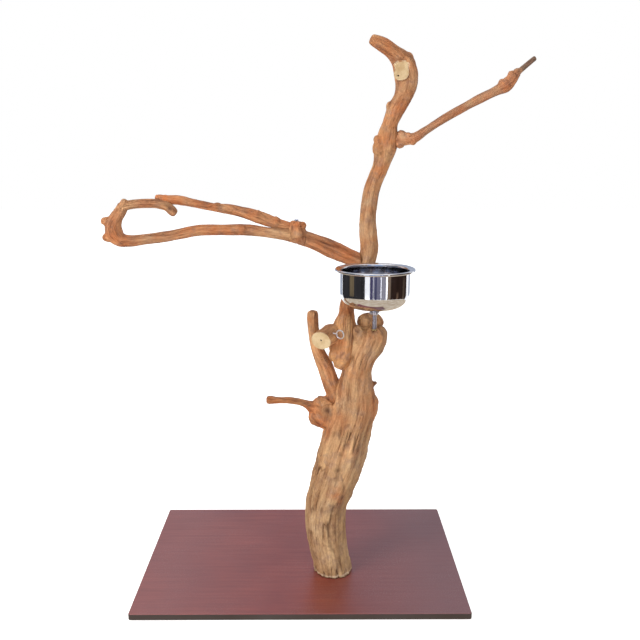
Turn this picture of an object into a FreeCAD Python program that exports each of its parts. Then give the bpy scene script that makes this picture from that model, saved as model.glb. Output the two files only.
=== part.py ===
import FreeCAD, Part
import Sketcher
import math
import os
import re
from FreeCAD import Placement, Rotation, Vector

# A tabletop play stand for a parrot: a sand-blasted natural branch tree on a stained board,
# with a stainless food cup that screws into the trunk and a screw eye for toys.
# Frame: +Z up, the floor at Z = 0, X to the right and Y away from the viewer, and the origin
# under the middle of the board.  All lengths are millimetres.

doc = FreeCAD.newDocument("PlayStand")
sheet = doc.addObject("Spreadsheet::Sheet", "Sizes")

SIZES = {
    # board and feet
    "board_length": 600,
    "board_width": 400,
    "board_thick": 12,
    "board_corner": 4,
    "board_edge": 1.5,
    "foot_radius": 8,
    "foot_height": 2.5,
    "foot_edge": 0.8,
    "foot_inset": 30,
    # where the trunk stands on the board, its height and the radius of its foot
    "trunk_x": 60,
    "trunk_y": -56,
    "trunk_height": 480,
    "trunk_radius": 35,
    "prong_length": 140,
    "prong_radius": 11,
    "side_perch_length": 100,
    "side_perch_radius": 7,
    # branches, each with its run and its radius
    "limb_length": 500,
    "limb_radius": 20,
    "stub_length": 50,
    "stub_radius": 17.5,
    "scar_length": 23,
    "scar_radius": 13.5,
    "right_length": 247,
    "right_radius": 9.4,
    "left_length": 440,
    "left_radius": 12,
    "return_length": 225,
    "return_radius": 9,
    "knob_radius": 15,
    "knob_height": 25,
    # sawn seats where one branch lies against the next
    "limb_lap_height": 450,
    "limb_lap_tilt": 12,
    "right_lap_height": 802,
    "left_lap_height": 591,
    "tenon_radius": 5,
    "tenon_length": 26,
    # screws that hold the tree together: shank radius, length, head radius and height
    "limb_screw_radius": 3,
    "limb_screw_length": 66,
    "limb_screw_head": 6,
    "limb_screw_cap": 3.6,
    "limb_screw_pitch": 34,
    "fork_screw_radius": 2.5,
    "fork_screw_length": 52,
    "fork_screw_head": 5,
    "fork_screw_cap": 3,
    "branch_screw_radius": 2.2,
    "branch_screw_length": 50,
    "branch_screw_head": 4.4,
    "branch_screw_cap": 2.8,
    "knob_screw_radius": 2,
    "knob_screw_length": 36,
    "knob_screw_head": 4.2,
    "knob_screw_cap": 2.8,
    "loop_screw_radius": 1.7,
    "loop_screw_length": 17,
    "loop_screw_head": 3.4,
    "loop_screw_cap": 2.2,
    # fixings through the board into the foot of the trunk
    "lag_radius": 4,
    "lag_length": 66,
    "lag_across": 13,
    "lag_cap": 5.3,
    "washer_radius": 12,
    "washer_thick": 1.6,
    "washer_sunk": 7.4,
    "base_screw_radius": 2.5,
    "base_screw_length": 50,
    "base_screw_head": 5,
    "base_screw_circle": 21,
    # cup, stud, wing nut and threaded insert
    "cup_x": 131,
    "cup_y": -72,
    "bowl_radius": 60.6,
    "bowl_height": 69.5,
    "bowl_wall": 0.9,
    "bowl_corner": 28,
    "rim_radius": 70,
    "rim_bead": 2.4,
    "rim_fillet": 2,
    "boss_radius": 8.5,
    "boss_height": 4,
    "boss_depth": 3.4,
    "stud_radius": 4,
    "stud_shown": 34.5,
    "stud_engaged": 12.5,
    "stud_chamfer": 0.7,
    "nut_height": 10,
    "nut_top_radius": 6.6,
    "nut_low_radius": 5.4,
    "wing_reach": 12.6,
    "wing_round": 3.4,
    "wing_low": 2.4,
    "wing_thick": 2.4,
    "wing_angle": 35,
    "insert_radius": 6,
    "insert_length": 18,
    "insert_flange": 8,
    "insert_lip": 1.2,
    # screw eye
    "eye_ring": 7.2,
    "eye_wire": 1.3,
    "eye_shank": 24,
    # clearances: wood screws in their holes, turning threads, and faces that turn past each other
    "screw_play": 0.1,
    "thread_play": 0.05,
    "face_play": 0.1,
}

for row, (name, size) in enumerate(SIZES.items(), start=1):
    sheet.set(f"A{row}", name)
    sheet.set(f"B{row}", str(size))
    sheet.setAlias(f"B{row}", name)
doc.recompute()


def size(name):
    return float(sheet.get(name))


def bound(text):
    """An expression with each size in it written as a reference to the sheet."""
    return re.sub(r"[a-z]\w*", lambda m: f"Sizes.{m.group()}" if m.group() in SIZES else m.group(), str(text))


def worth(text):
    return float(sheet.evalExpression(bound(text)))


# ---------------------------------------------------------------- turned and padded pieces


def new_body(label):
    body = doc.addObject("PartDesign::Body", label)
    body.Label = label
    return body


def origin_plane(body, role):
    return next(f for f in body.Origin.OriginFeatures if f.Role == role)


def set_point(sketch, geo, pos, where, fixed="xy"):
    """Ties one point of a sketch to (x, y), each a size expression; 0 puts it on the axis."""
    for letter, text, axis, kind in (("x", where[0], -2, "DistanceX"), ("y", where[1], -1, "DistanceY")):
        if letter not in fixed:
            continue
        if str(text) == "0":
            sketch.addConstraint(Sketcher.Constraint("PointOnObject", geo, pos, axis))
        else:
            index = sketch.addConstraint(Sketcher.Constraint(kind, -1, 1, geo, pos, worth(text)))
            sketch.setExpression(f"Constraints[{index}]", bound(text))


def outline(body, role, name, start, steps):
    """A closed outline of lines and arcs on an origin plane.

    start is (x, y); a step is (x, y) for a line, or (x, y, cx, cy, turn, fixed) for an arc about
    (cx, cy), turn being "ccw" or "cw" and fixed the coordinate of the arc's end that is given.
    """
    sketch = body.newObject("Sketcher::SketchObject", name)
    sketch.AttachmentSupport = (origin_plane(body, role), [""])
    sketch.MapMode = "FlatFace"
    at = start
    ends = []
    for step in steps:
        a = Vector(worth(at[0]), worth(at[1]), 0)
        b = Vector(worth(step[0]), worth(step[1]), 0)
        if len(step) == 2:
            geo = sketch.addGeometry(Part.LineSegment(a, b), False)
            first, last = 1, 2
        else:
            centre = Vector(worth(step[2]), worth(step[3]), 0)
            circle = Part.Circle(centre, Vector(0, 0, 1), (a - centre).Length)
            low, high = (a, b) if step[4] == "ccw" else (b, a)
            arc = Part.ArcOfCircle(
                circle,
                math.atan2(low.y - centre.y, low.x - centre.x),
                math.atan2(high.y - centre.y, high.x - centre.x),
            )
            geo = sketch.addGeometry(arc, False)
            first, last = (1, 2) if step[4] == "ccw" else (2, 1)
            set_point(sketch, geo, 3, step[2:4])
        ends.append((geo, first, last))
        at = step
    for (geo, _, last), (following, first, _) in zip(ends, ends[1:] + ends[:1]):
        sketch.addConstraint(Sketcher.Constraint("Coincident", geo, last, following, first))
    set_point(sketch, ends[0][0], ends[0][1], start)
    for (geo, _, last), step in zip(ends[:-1], steps[:-1]):
        set_point(sketch, geo, last, step, step[5] if len(step) > 2 else "xy")
    return sketch


def revolve(body, name, start, steps):
    """Turns an outline of (radius, height) about the body's Z axis."""
    sketch = outline(body, "XZ_Plane", name + "_outline", start, steps)
    turned = body.newObject("PartDesign::Revolution", name)
    turned.Profile = sketch
    turned.ReferenceAxis = (sketch, ["V_Axis"])
    turned.Angle = 360
    return turned


def frame_along(start, toward):
    """A placement at start whose local -Z runs toward the second point."""
    return Placement(start, Rotation(Vector(0, 0, -1), toward - start))


def stack(*solids):
    return Part.makeCompound(list(solids))


def finished(label, shape, place=None):
    piece = doc.addObject("Part::Feature", label)
    piece.Label = label
    piece.Shape = shape
    if place:
        piece.Placement = place
    return piece


# ---------------------------------------------------------------- where things lie

board_top = size("foot_height") + size("board_thick")
foot = Vector(size("trunk_x"), size("trunk_y"), board_top)
seat_height = board_top + size("trunk_height")
cup_axis = Vector(size("cup_x"), size("cup_y"), 0)
insert_seat = cup_axis + Vector(0, 0, seat_height)
boss_foot = seat_height + size("stud_shown")
cup_bottom = boss_foot + size("boss_height")

# The tall limb lies against the left of the trunk on a sawn face that leans with the trunk.
limb_root = foot + Vector(28, -4, size("limb_lap_height"))
lap_tilt = Rotation(Vector(0, 1, 0), size("limb_lap_tilt"))
lap_place = Placement(limb_root, lap_tilt)


def along(root, length, shares):
    return root + Vector(*shares[:3]) * length


right_root = limb_root + Vector(82, 74, size("right_lap_height") - size("limb_lap_height"))
left_root = limb_root + Vector(22, 74, size("left_lap_height") - size("limb_lap_height"))


# ---------------------------------------------------------------- wood

# Each branch is a row of stations: where it runs to, in shares of its own length from its root,
# and how thick it is there, in shares of its own radius.

TRUNK = (
    # rise, lean, girth across, girth in depth
    (0.000, 0.000, 1.00, 0.92),
    (0.100, -0.019, 1.00, 0.92),
    (0.205, -0.029, 1.09, 0.98),
    (0.290, -0.025, 1.19, 1.05),
    (0.360, -0.006, 1.22, 1.10),
    (0.460, 0.025, 1.25, 1.12),
    (0.545, 0.044, 1.19, 1.12),
    (0.625, 0.065, 1.17, 1.12),
    (0.700, 0.081, 1.18, 1.10),
    (0.765, 0.083, 0.98, 1.08),
    (0.830, 0.090, 0.80, 1.06),
    (0.890, 0.104, 0.82, 1.08),
    (0.940, 0.128, 0.93, 1.06),
    (0.975, 0.138, 0.93, 1.00),
    (1.000, 0.138, 0.80, 0.86),
)
PRONG = (
    (0.070, -0.020, -0.180, 1.42),
    (0.000, 0.010, 0.010, 1.36),
    (-0.089, 0.036, 0.262, 1.28),
    (-0.176, 0.057, 0.474, 1.04),
    (-0.227, 0.071, 0.711, 0.88),
    (-0.244, 0.071, 0.910, 0.92),
    (-0.243, 0.071, 1.000, 0.62),
)
SIDE_PERCH = (
    (0.060, 0.020, -0.060, 2.40),
    (-0.150, -0.030, 0.120, 1.75),
    (-0.290, -0.070, 0.210, 1.05),
    (-0.550, -0.120, 0.290, 0.93),
    (-0.820, -0.165, 0.310, 0.93),
    (-0.940, -0.170, 0.315, 1.10),
    (-1.000, -0.170, 0.320, 0.85),
)
TALL_LIMB = (
    (-0.036, -0.012, -0.090, 0.30),
    (-0.032, -0.012, -0.078, 0.66),
    (-0.024, -0.014, -0.050, 1.02),
    (-0.022, -0.014, -0.014, 1.25),
    (-0.018, -0.008, 0.022, 1.25),
    (-0.016, 0.008, 0.060, 1.10),
    (-0.011, 0.038, 0.094, 0.79),
    (-0.004, 0.082, 0.134, 0.73),
    (0.020, 0.120, 0.174, 0.76),
    (0.042, 0.145, 0.220, 0.84),
    (0.066, 0.159, 0.273, 0.84),
    (0.075, 0.160, 0.313, 0.84),
    (0.073, 0.160, 0.379, 0.83),
    (0.073, 0.160, 0.458, 0.75),
    (0.086, 0.160, 0.544, 0.72),
    (0.117, 0.158, 0.625, 0.77),
    (0.131, 0.154, 0.690, 1.02),
    (0.138, 0.148, 0.732, 0.86),
    (0.143, 0.144, 0.765, 0.68),
    (0.160, 0.138, 0.809, 0.75),
    (0.189, 0.132, 0.862, 0.81),
    (0.198, 0.124, 0.914, 1.03),
    (0.184, 0.112, 0.966, 0.99),
    (0.146, 0.100, 1.004, 0.69),
    (0.109, 0.092, 1.030, 0.62),
    (0.078, 0.084, 1.044, 0.49),
    (0.066, 0.080, 1.050, 0.26),
)
RIGHT_PERCH = (
    (0.000, 0.000, 0.010, 1.30),
    (0.065, -0.004, 0.020, 1.20),
    (0.130, -0.008, 0.028, 1.02),
    (0.215, -0.006, 0.078, 0.77),
    (0.308, -0.002, 0.140, 0.76),
    (0.389, 0.004, 0.190, 0.80),
    (0.507, 0.012, 0.253, 0.78),
    (0.614, 0.020, 0.308, 0.88),
    (0.725, 0.028, 0.362, 0.94),
    (0.788, 0.032, 0.400, 1.30),
    (0.825, 0.036, 0.438, 1.12),
    (0.862, 0.040, 0.478, 0.82),
    (0.880, 0.042, 0.492, 0.62),
)
TWIG = ((0.860, 0.040, 0.477, 0.42), (0.930, 0.048, 0.537, 0.40), (1.000, 0.056, 0.594, 0.36))
LEFT_ARM = (
    (0.000, 0.000, -0.008, 1.22),
    (-0.046, -0.004, 0.010, 1.25),
    (-0.099, -0.010, 0.036, 1.33),
    (-0.169, -0.020, 0.066, 1.21),
    (-0.229, -0.029, 0.092, 1.12),
    (-0.297, -0.036, 0.108, 1.05),
    (-0.378, -0.045, 0.118, 0.84),
    (-0.454, -0.054, 0.129, 0.92),
    (-0.564, -0.063, 0.131, 0.84),
    (-0.673, -0.072, 0.129, 0.87),
    (-0.765, -0.081, 0.111, 0.81),
    (-0.869, -0.090, 0.096, 0.77),
    (-0.944, -0.095, 0.090, 0.86),
    (-0.979, -0.097, 0.094, 0.98),
    (-1.006, -0.097, 0.104, 0.70),
)
ELBOW = (
    (-0.964, -0.097, 0.084, 0.85),
    (-0.998, -0.097, 0.112, 1.34),
    (-1.006, -0.097, 0.148, 1.34),
    (-0.990, -0.097, 0.182, 1.04),
    (-0.968, -0.095, 0.212, 0.84),
    (-0.960, -0.095, 0.240, 0.66),
)
UPPER_ARM = (
    (-0.976, -0.095, 0.224, 0.74),
    (-0.929, -0.095, 0.236, 0.72),
    (-0.867, -0.090, 0.239, 0.70),
    (-0.818, -0.088, 0.237, 0.69),
    (-0.782, -0.088, 0.226, 0.66),
    (-0.756, -0.088, 0.204, 0.62),
    (-0.747, -0.088, 0.197, 0.40),
)
KNOB = (
    (0.020, 0.000, -0.250, 1.25),
    (0.010, 0.000, 0.300, 1.12),
    (0.000, 0.000, 0.600, 1.00),
    (0.000, 0.000, 0.860, 0.98),
    (0.000, 0.000, 1.000, 0.84),
)
RETURN = (
    (-1.005, -0.062, 0.222, 0.35),
    (-0.975, -0.062, 0.214, 0.62),
    (-0.939, -0.062, 0.204, 0.80),
    (-0.833, -0.055, 0.199, 0.95),
    (-0.701, -0.044, 0.173, 0.87),
    (-0.553, -0.035, 0.142, 0.82),
    (-0.432, -0.026, 0.123, 1.00),
    (-0.311, -0.018, 0.097, 1.02),
    (-0.196, -0.013, 0.062, 1.20),
    (-0.098, -0.008, 0.024, 1.10),
    (0.000, -0.004, -0.006, 0.90),
)


def rib(angle, share):
    """How far the ridges of the grain stand out: three broad ones and five fine, winding a little."""
    return 1 + 0.045 * math.cos(3 * angle + 2.2 * share) + 0.025 * math.cos(5 * angle - 3 * share)


def ring(centre, side, up, share=0):
    """A closed section with flats between its ridges; side and up carry its half widths."""
    corners = []
    for i in range(12):
        angle = math.tau * i / 12
        spot = side * math.cos(angle) + up * math.sin(angle)
        corners.append(centre + spot * rib(angle, share))
    return Part.makePolygon(corners + corners[:1])


def branch(root, length, radius, stations, side=Vector(0, 1, 0)):
    """A natural limb: a loft through sections square to its run."""
    spots = [along(root, length, s) for s in stations]
    wires = []
    for i, (spot, station) in enumerate(zip(spots, stations)):
        run = (spots[min(i + 1, len(spots) - 1)] - spots[max(i - 1, 0)]).normalize()
        across = (side - run * side.dot(run)).normalize()
        half = radius * station[3]
        wires.append(ring(spot, across * half, run.cross(across) * half, i / len(spots)))
    return Part.makeLoft(wires, True)


def trunk_section(rise, lean, across, deep):
    radius = size("trunk_radius")
    centre = foot + Vector(lean, 0, rise) * size("trunk_height")
    return ring(centre, Vector(radius * across, 0, 0), Vector(0, radius * deep, 0), rise)


def burl(centre, across, deep, high):
    """A rounded lump of wood with the same flats as the limbs."""
    wires = []
    for share in (-0.94, -0.6, 0.0, 0.6, 0.94):
        round_in = math.sqrt(1 - share * share)
        wires.append(ring(centre + Vector(0, 0, high * share), Vector(across * round_in, 0, 0),
                          Vector(0, deep * round_in, 0), share))
    return Part.makeLoft(wires, True)


def bore(start, toward, radius, length):
    """A round hole from start, toward a point."""
    return Part.makeCylinder(radius, length, start, (toward - start).normalize())


def screw_hole(kind, seat, aim, out=60):
    """The hole for a wood screw whose head sits at seat: its shank, and a counterbore outward."""
    play = size("screw_play")
    away = seat + (seat - aim)
    shank = bore(seat, aim, size(kind + "_radius") + play, size(kind + "_length") + 1)
    return shank.fuse(bore(seat, away, size(kind + "_head") + play, out))


def lap_box(side):
    """The space beside the sawn face between the trunk (side 1) and the tall limb (side -1)."""
    box = Part.makeBox(60, 130, 110) if side > 0 else Part.makeBox(17, 90, 110)
    box.translate(Vector(0, -65, -70) if side > 0 else Vector(-17, -45, -50))
    box.Placement = lap_place.multiply(box.Placement)
    return box


# the screws' seats and where they point
limb_screw_seats = [
    limb_root + Vector(40, 12, 9),
    limb_root + Vector(40, 4, 9 - size("limb_screw_pitch")),
]
fork_seat = left_root + Vector(24, 3, -5)
fork_aim = fork_seat + Vector(-50, -5, 17)
branch_seat = right_root + Vector(-30, 0, 0)
branch_aim = branch_seat + Vector(50, -1, 5)
return_root = left_root + Vector(-140, -14, 66)
knob_foot = return_root + Vector(23, -1, -18)
knob_top = knob_foot + Vector(0, 0, size("knob_height"))
loop_seat = return_root + Vector(-214, -9, 42.5)
loop_lap = return_root.y - 19.5
tenon_start = return_root + Vector(-5, 0, 0.8)
tenon_end = tenon_start + Vector(0.975, 0, -0.22).normalize() * size("tenon_length")
stub_root = limb_root + Vector(-26, 3, 20)
stub_way = Vector(-0.51, -0.855, -0.1).normalize()
eye_way = Vector(-0.82, 0.57, 0).normalize()
eye_centre = limb_root + Vector(-18, -40, 26)


def fused(first, *others):
    return first.multiFuse(list(others))


def make_trunk():
    wood = Part.makeLoft([trunk_section(*s) for s in TRUNK], True)
    prong = branch(foot + Vector(-4, 4, 368), size("prong_length"), size("prong_radius"), PRONG)
    perch_root = foot + Vector(-22, -2, 318)
    perch = branch(perch_root, size("side_perch_length"), size("side_perch_radius"), SIDE_PERCH,
                   Vector(0, 0, 1))
    lump = burl(perch_root + Vector(4, -1, 2), 27, 22, 31)
    knob = burl(insert_seat + Vector(-7, 33, 4), 20, 18, 19)
    snag = Part.makeCone(6, 2.2, 15, foot + Vector(62, 2, 366), Vector(0.75, -0.1, 0.65))
    wood = fused(wood, prong, perch, lump, knob, snag)
    holes = [lap_box(-1)]
    holes.append(bore(foot, foot + Vector(0, 0, 1), size("lag_radius") + size("screw_play"),
                      size("lag_length") - size("board_thick") + 8))
    for spot in base_screw_spots():
        holes.append(bore(spot + Vector(0, 0, board_top), spot + Vector(0, 0, 999),
                          size("base_screw_radius") + size("screw_play"), size("base_screw_length")))
    play = size("screw_play")
    below = insert_seat - Vector(0, 0, 1)
    holes.append(bore(insert_seat, below, size("insert_radius") + play, size("insert_length") + 6))
    holes.append(bore(insert_seat, below, size("insert_flange") + play, size("insert_lip")))
    holes.append(bore(insert_seat, insert_seat + Vector(0, 0, 1), size("insert_flange") + 1.5, 30))
    for seat in limb_screw_seats:
        holes.append(screw_hole("limb_screw", seat, seat - Vector(1, 0, 0)))
    return wood.cut(holes)


def stump(root, way, length, radius):
    """A side branch sawn off flat, a little stouter at its root."""
    way = way.normalize()
    side = Vector(0, 0, 1).cross(way).normalize()
    wires = []
    for share, stout in ((0.0, 1.25), (0.45, 1.08), (1.0, 1.0)):
        half = radius * stout
        wires.append(ring(root + way * (length * share), side * half, way.cross(side) * half, share))
    return Part.makeLoft(wires, True)


def make_tall_limb():
    limb = branch(limb_root, size("limb_length"), size("limb_radius"), TALL_LIMB)
    stub = stump(stub_root, stub_way, size("stub_length"), size("stub_radius"))
    scar = stump(limb_root + Vector(96, 60, 466), Vector(-0.45, -0.88, 0.1), size("scar_length"),
                 size("scar_radius"))
    limb = fused(limb, stub, scar, burl(right_root + Vector(-29, -6, -11), 12, 12, 15))
    tools = [lap_box(1)]
    # flats for the two side branches
    tools.append(Part.makeBox(40, 60, 60, right_root + Vector(0, -30, -30)))
    tools.append(Part.makeBox(30, 44, 52, left_root + Vector(-30, -22, -31)))
    for seat in limb_screw_seats:
        tools.append(screw_hole("limb_screw", seat, seat - Vector(1, 0, 0)))
    tools.append(screw_hole("fork_screw", fork_seat, fork_aim))
    tools.append(screw_hole("branch_screw", branch_seat, branch_aim))
    entry = eye_centre + eye_way * size("eye_ring")
    tools.append(bore(entry, entry + eye_way, size("eye_wire") + size("screw_play"), size("eye_shank") + 1))
    return limb.cut(tools)


def make_right_perch():
    perch = branch(right_root, size("right_length"), size("right_radius"), RIGHT_PERCH)
    twig = branch(right_root, size("right_length"), size("right_radius"), TWIG)
    perch = fused(perch, twig)
    behind = Part.makeBox(40, 60, 60, right_root + Vector(-40, -30, -30))
    return perch.cut([behind, screw_hole("branch_screw", branch_seat, branch_aim)])


def left_wood():
    """The left perch before it is drilled: main arm, elbow, upper arm and the knob on top."""
    length, radius = size("left_length"), size("left_radius")
    arm = branch(left_root, length, radius, LEFT_ARM)
    elbow = branch(left_root, length, radius, ELBOW)
    upper = branch(left_root, length, radius, UPPER_ARM)
    bump = burl(along(left_root, length, (-1.029, -0.097, 0.155)), 12, 11, 14)
    knob = branch(knob_foot, size("knob_height"), size("knob_radius"), KNOB)
    lap = Part.makeBox(60, 20, 60, Vector(loop_seat.x - 25, loop_lap, loop_seat.z - 30))
    flat = Part.makeBox(30, 60, 60, left_root + Vector(0, -30, -30))
    return fused(arm, elbow, upper, bump, knob).cut([flat, lap])


def make_left_perch():
    socket = bore(tenon_start, tenon_end, size("tenon_radius") + size("screw_play"),
                  size("tenon_length") + 0.5)
    return left_wood().cut([
        screw_hole("fork_screw", fork_seat, fork_aim),
        screw_hole("knob_screw", knob_top, knob_top - Vector(0, 0, 1)),
        screw_hole("loop_screw", loop_seat, loop_seat - Vector(0, 1, 0)),
        socket,
    ])


def make_return_perch():
    """The upper arm of the loop, coped over the left perch and let into its knob by a tenon."""
    perch = branch(return_root, size("return_length"), size("return_radius"), RETURN)
    lap = Part.makeBox(60, 20, 60, Vector(loop_seat.x - 25, loop_lap - 20, loop_seat.z - 30))
    perch = perch.cut([left_wood(), lap])
    tenon = bore(tenon_start - (tenon_end - tenon_start) * 0.4, tenon_end, size("tenon_radius"),
                 size("tenon_length") * 1.4)
    return perch.fuse(tenon).cut([
        screw_hole("knob_screw", knob_top, knob_top - Vector(0, 0, 1)),
        screw_hole("loop_screw", loop_seat, loop_seat - Vector(0, 1, 0)),
    ])


# ---------------------------------------------------------------- board, feet and fixings


def screw_angle(i):
    return 30 + 120 * i


def base_screw_spots():
    """Three screws on a circle round the lag bolt."""
    spots = []
    for i in range(3):
        angle = math.radians(screw_angle(i))
        way = Vector(math.cos(angle), math.sin(angle), 0)
        spots.append(Vector(foot.x, foot.y, 0) + way * size("base_screw_circle"))
    return spots


def make_base_board():
    board = new_body("base_board")
    half_long, half_wide = "board_length / 2", "board_width / 2"
    sketch = outline(
        board, "XY_Plane", "board_outline", (f"-({half_long})", f"-({half_wide})"),
        [
            (half_long, f"-({half_wide})"),
            (half_long, half_wide),
            (f"-({half_long})", half_wide),
            (f"-({half_long})", f"-({half_wide})"),
        ],
    )
    slab = board.newObject("PartDesign::Pad", "slab")
    slab.Profile = sketch
    slab.setExpression("Length", bound("board_thick"))
    doc.recompute()
    corners = named_edges(slab, lambda e: abs(e.tangentAt(e.FirstParameter).z) > 0.9)
    rounded = board.newObject("PartDesign::Fillet", "round_corners")
    rounded.Base = (slab, corners)
    rounded.setExpression("Radius", bound("board_corner"))
    doc.recompute()
    rims = named_edges(rounded, lambda e: abs(e.tangentAt(e.FirstParameter).z) < 0.1)
    eased = board.newObject("PartDesign::Fillet", "eased_edges")
    eased.Base = (rounded, rims)
    eased.setExpression("Radius", bound("board_edge"))
    doc.recompute()

    recess = board.newObject("PartDesign::SubtractiveCylinder", "washer_recess")
    recess.setExpression("Radius", bound("washer_radius + screw_play * 3"))
    recess.setExpression("Height", bound("washer_sunk"))
    put_under_trunk(recess)
    through = board.newObject("PartDesign::SubtractiveCylinder", "lag_hole")
    through.setExpression("Radius", bound("lag_radius + screw_play * 4"))
    through.setExpression("Height", bound("board_thick"))
    put_under_trunk(through)
    for i in range(3):
        hole = board.newObject("PartDesign::SubtractiveCylinder", f"screw_hole_{i + 1}")
        hole.setExpression("Radius", bound("base_screw_radius + screw_play"))
        hole.setExpression("Height", bound("board_thick"))
        put_under_trunk(hole, screw_angle(i))
        sink = board.newObject("PartDesign::SubtractiveCone", f"countersink_{i + 1}")
        sink.setExpression("Radius1", bound("base_screw_head + screw_play"))
        sink.setExpression("Radius2", bound("base_screw_radius + screw_play"))
        sink.setExpression("Height", bound("base_screw_head - base_screw_radius"))
        put_under_trunk(sink, screw_angle(i))
    board.setExpression("Placement.Base.z", bound("foot_height"))
    doc.recompute()
    return board


def put_under_trunk(tool, angle=None):
    """Puts a cutting tool of the board on the trunk's axis, or on a screw's place round it."""
    ring_x = "" if angle is None else f" + base_screw_circle * cos({angle})"
    ring_y = "" if angle is None else f" + base_screw_circle * sin({angle})"
    tool.setExpression("Placement.Base.x", bound("trunk_x" + ring_x))
    tool.setExpression("Placement.Base.y", bound("trunk_y" + ring_y))


def named_edges(feature, wanted):
    return [f"Edge{i}" for i, edge in enumerate(feature.Shape.Edges, start=1) if wanted(edge)]


def make_feet():
    """Low rubber bumpers stuck on near the corners, and one at the middle so the board can't bow."""
    foot_body = new_body("foot_pattern")
    revolve(
        foot_body, "bumper", ("0", "0"),
        [
            ("foot_radius - foot_edge", "0"),
            ("foot_radius", "foot_edge"),
            ("foot_radius", "foot_height"),
            ("0", "foot_height"),
            ("0", "0"),
        ],
    )
    doc.recompute()
    x = size("board_length") / 2 - size("foot_inset")
    y = size("board_width") / 2 - size("foot_inset")
    copies = []
    for sx, sy in ((-1, -1), (1, -1), (1, 1), (-1, 1), (0, 0)):
        bumper = foot_body.Shape.copy()
        bumper.translate(Vector(sx * x, sy * y, 0))
        copies.append(bumper)
    return finished("base_feet", stack(*copies))


def make_lag_bolt():
    """A hex-head wood bolt, driven up through the board."""
    bolt = new_body("trunk_lag_bolt")
    revolve(
        bolt, "shank", ("0", "0"),
        [
            ("lag_radius", "0"),
            ("lag_radius", "lag_length - lag_radius * 2"),
            ("0.4", "lag_length"),
            ("0", "lag_length"),
            ("0", "0"),
        ],
    )
    head = bolt.newObject("PartDesign::AdditivePrism", "hex_head")
    head.Polygon = 6
    head.setExpression("Circumradius", bound("lag_across / sqrt(3)"))
    head.setExpression("Height", bound("lag_cap"))
    head.setExpression("Placement.Base.z", bound("-lag_cap"))
    bolt.Placement = Placement(foot_at(washer_seat - size("washer_thick")), Rotation())
    return bolt


washer_seat = size("foot_height") + size("washer_sunk")


def foot_at(height):
    return Vector(foot.x, foot.y, height)


def make_washer():
    washer = new_body("lag_washer")
    inner = "lag_radius + screw_play * 3"
    revolve(
        washer, "disc", (inner, "0"),
        [
            ("washer_radius", "0"),
            ("washer_radius", "washer_thick"),
            (inner, "washer_thick"),
            (inner, "0"),
        ],
    )
    washer.Placement = Placement(foot_at(washer_seat - size("washer_thick")), Rotation())
    return washer


def make_base_screws():
    """Flat-head screws that stop the trunk from turning on its bolt."""
    pattern = new_body("base_screw_pattern")
    revolve(
        pattern, "flat_head_screw", ("0", "0"),
        [
            ("base_screw_head", "0"),
            ("base_screw_radius", "base_screw_head - base_screw_radius"),
            ("base_screw_radius", "base_screw_length - base_screw_radius * 3"),
            ("0.3", "base_screw_length"),
            ("0", "base_screw_length"),
            ("0", "0"),
        ],
    )
    doc.recompute()
    copies = []
    for spot in base_screw_spots():
        screw = pattern.Shape.copy()
        screw.translate(spot + Vector(0, 0, size("foot_height")))
        copies.append(screw)
    return finished("base_screws", stack(*copies))


def screw_shape(kind):
    """A round-head wood screw, its head's seat at Z = 0 and its point downward."""
    screw = new_body(kind + "_pattern")
    head, cap = kind + "_head", kind + "_cap"
    shank, run = kind + "_radius", kind + "_length"
    revolve(
        screw, kind + "_turned", ("0", f"-{run}"),
        [
            ("0.3", f"-{run}"),
            (shank, f"-({run} - {shank} * 3)"),
            (shank, "0"),
            (head, "0"),
            (head, f"{cap} * 0.45"),
            (f"{head} * 0.72", f"{cap} * 0.88"),
            (f"{head} * 0.3", cap),
            ("0", cap),
            ("0", f"-{run}"),
        ],
    )
    doc.recompute()
    return screw.Shape.copy()


def placed_screw(label, kind, seat, aim):
    return finished(label, screw_shape(kind), frame_along(seat, aim))


def make_limb_screws():
    copies = []
    pattern = screw_shape("limb_screw")
    for seat in limb_screw_seats:
        screw = pattern.copy()
        screw.Placement = frame_along(seat, seat - Vector(1, 0, 0))
        copies.append(screw)
    return finished("limb_screws", stack(*copies))


# ---------------------------------------------------------------- cup and its stud


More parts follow.
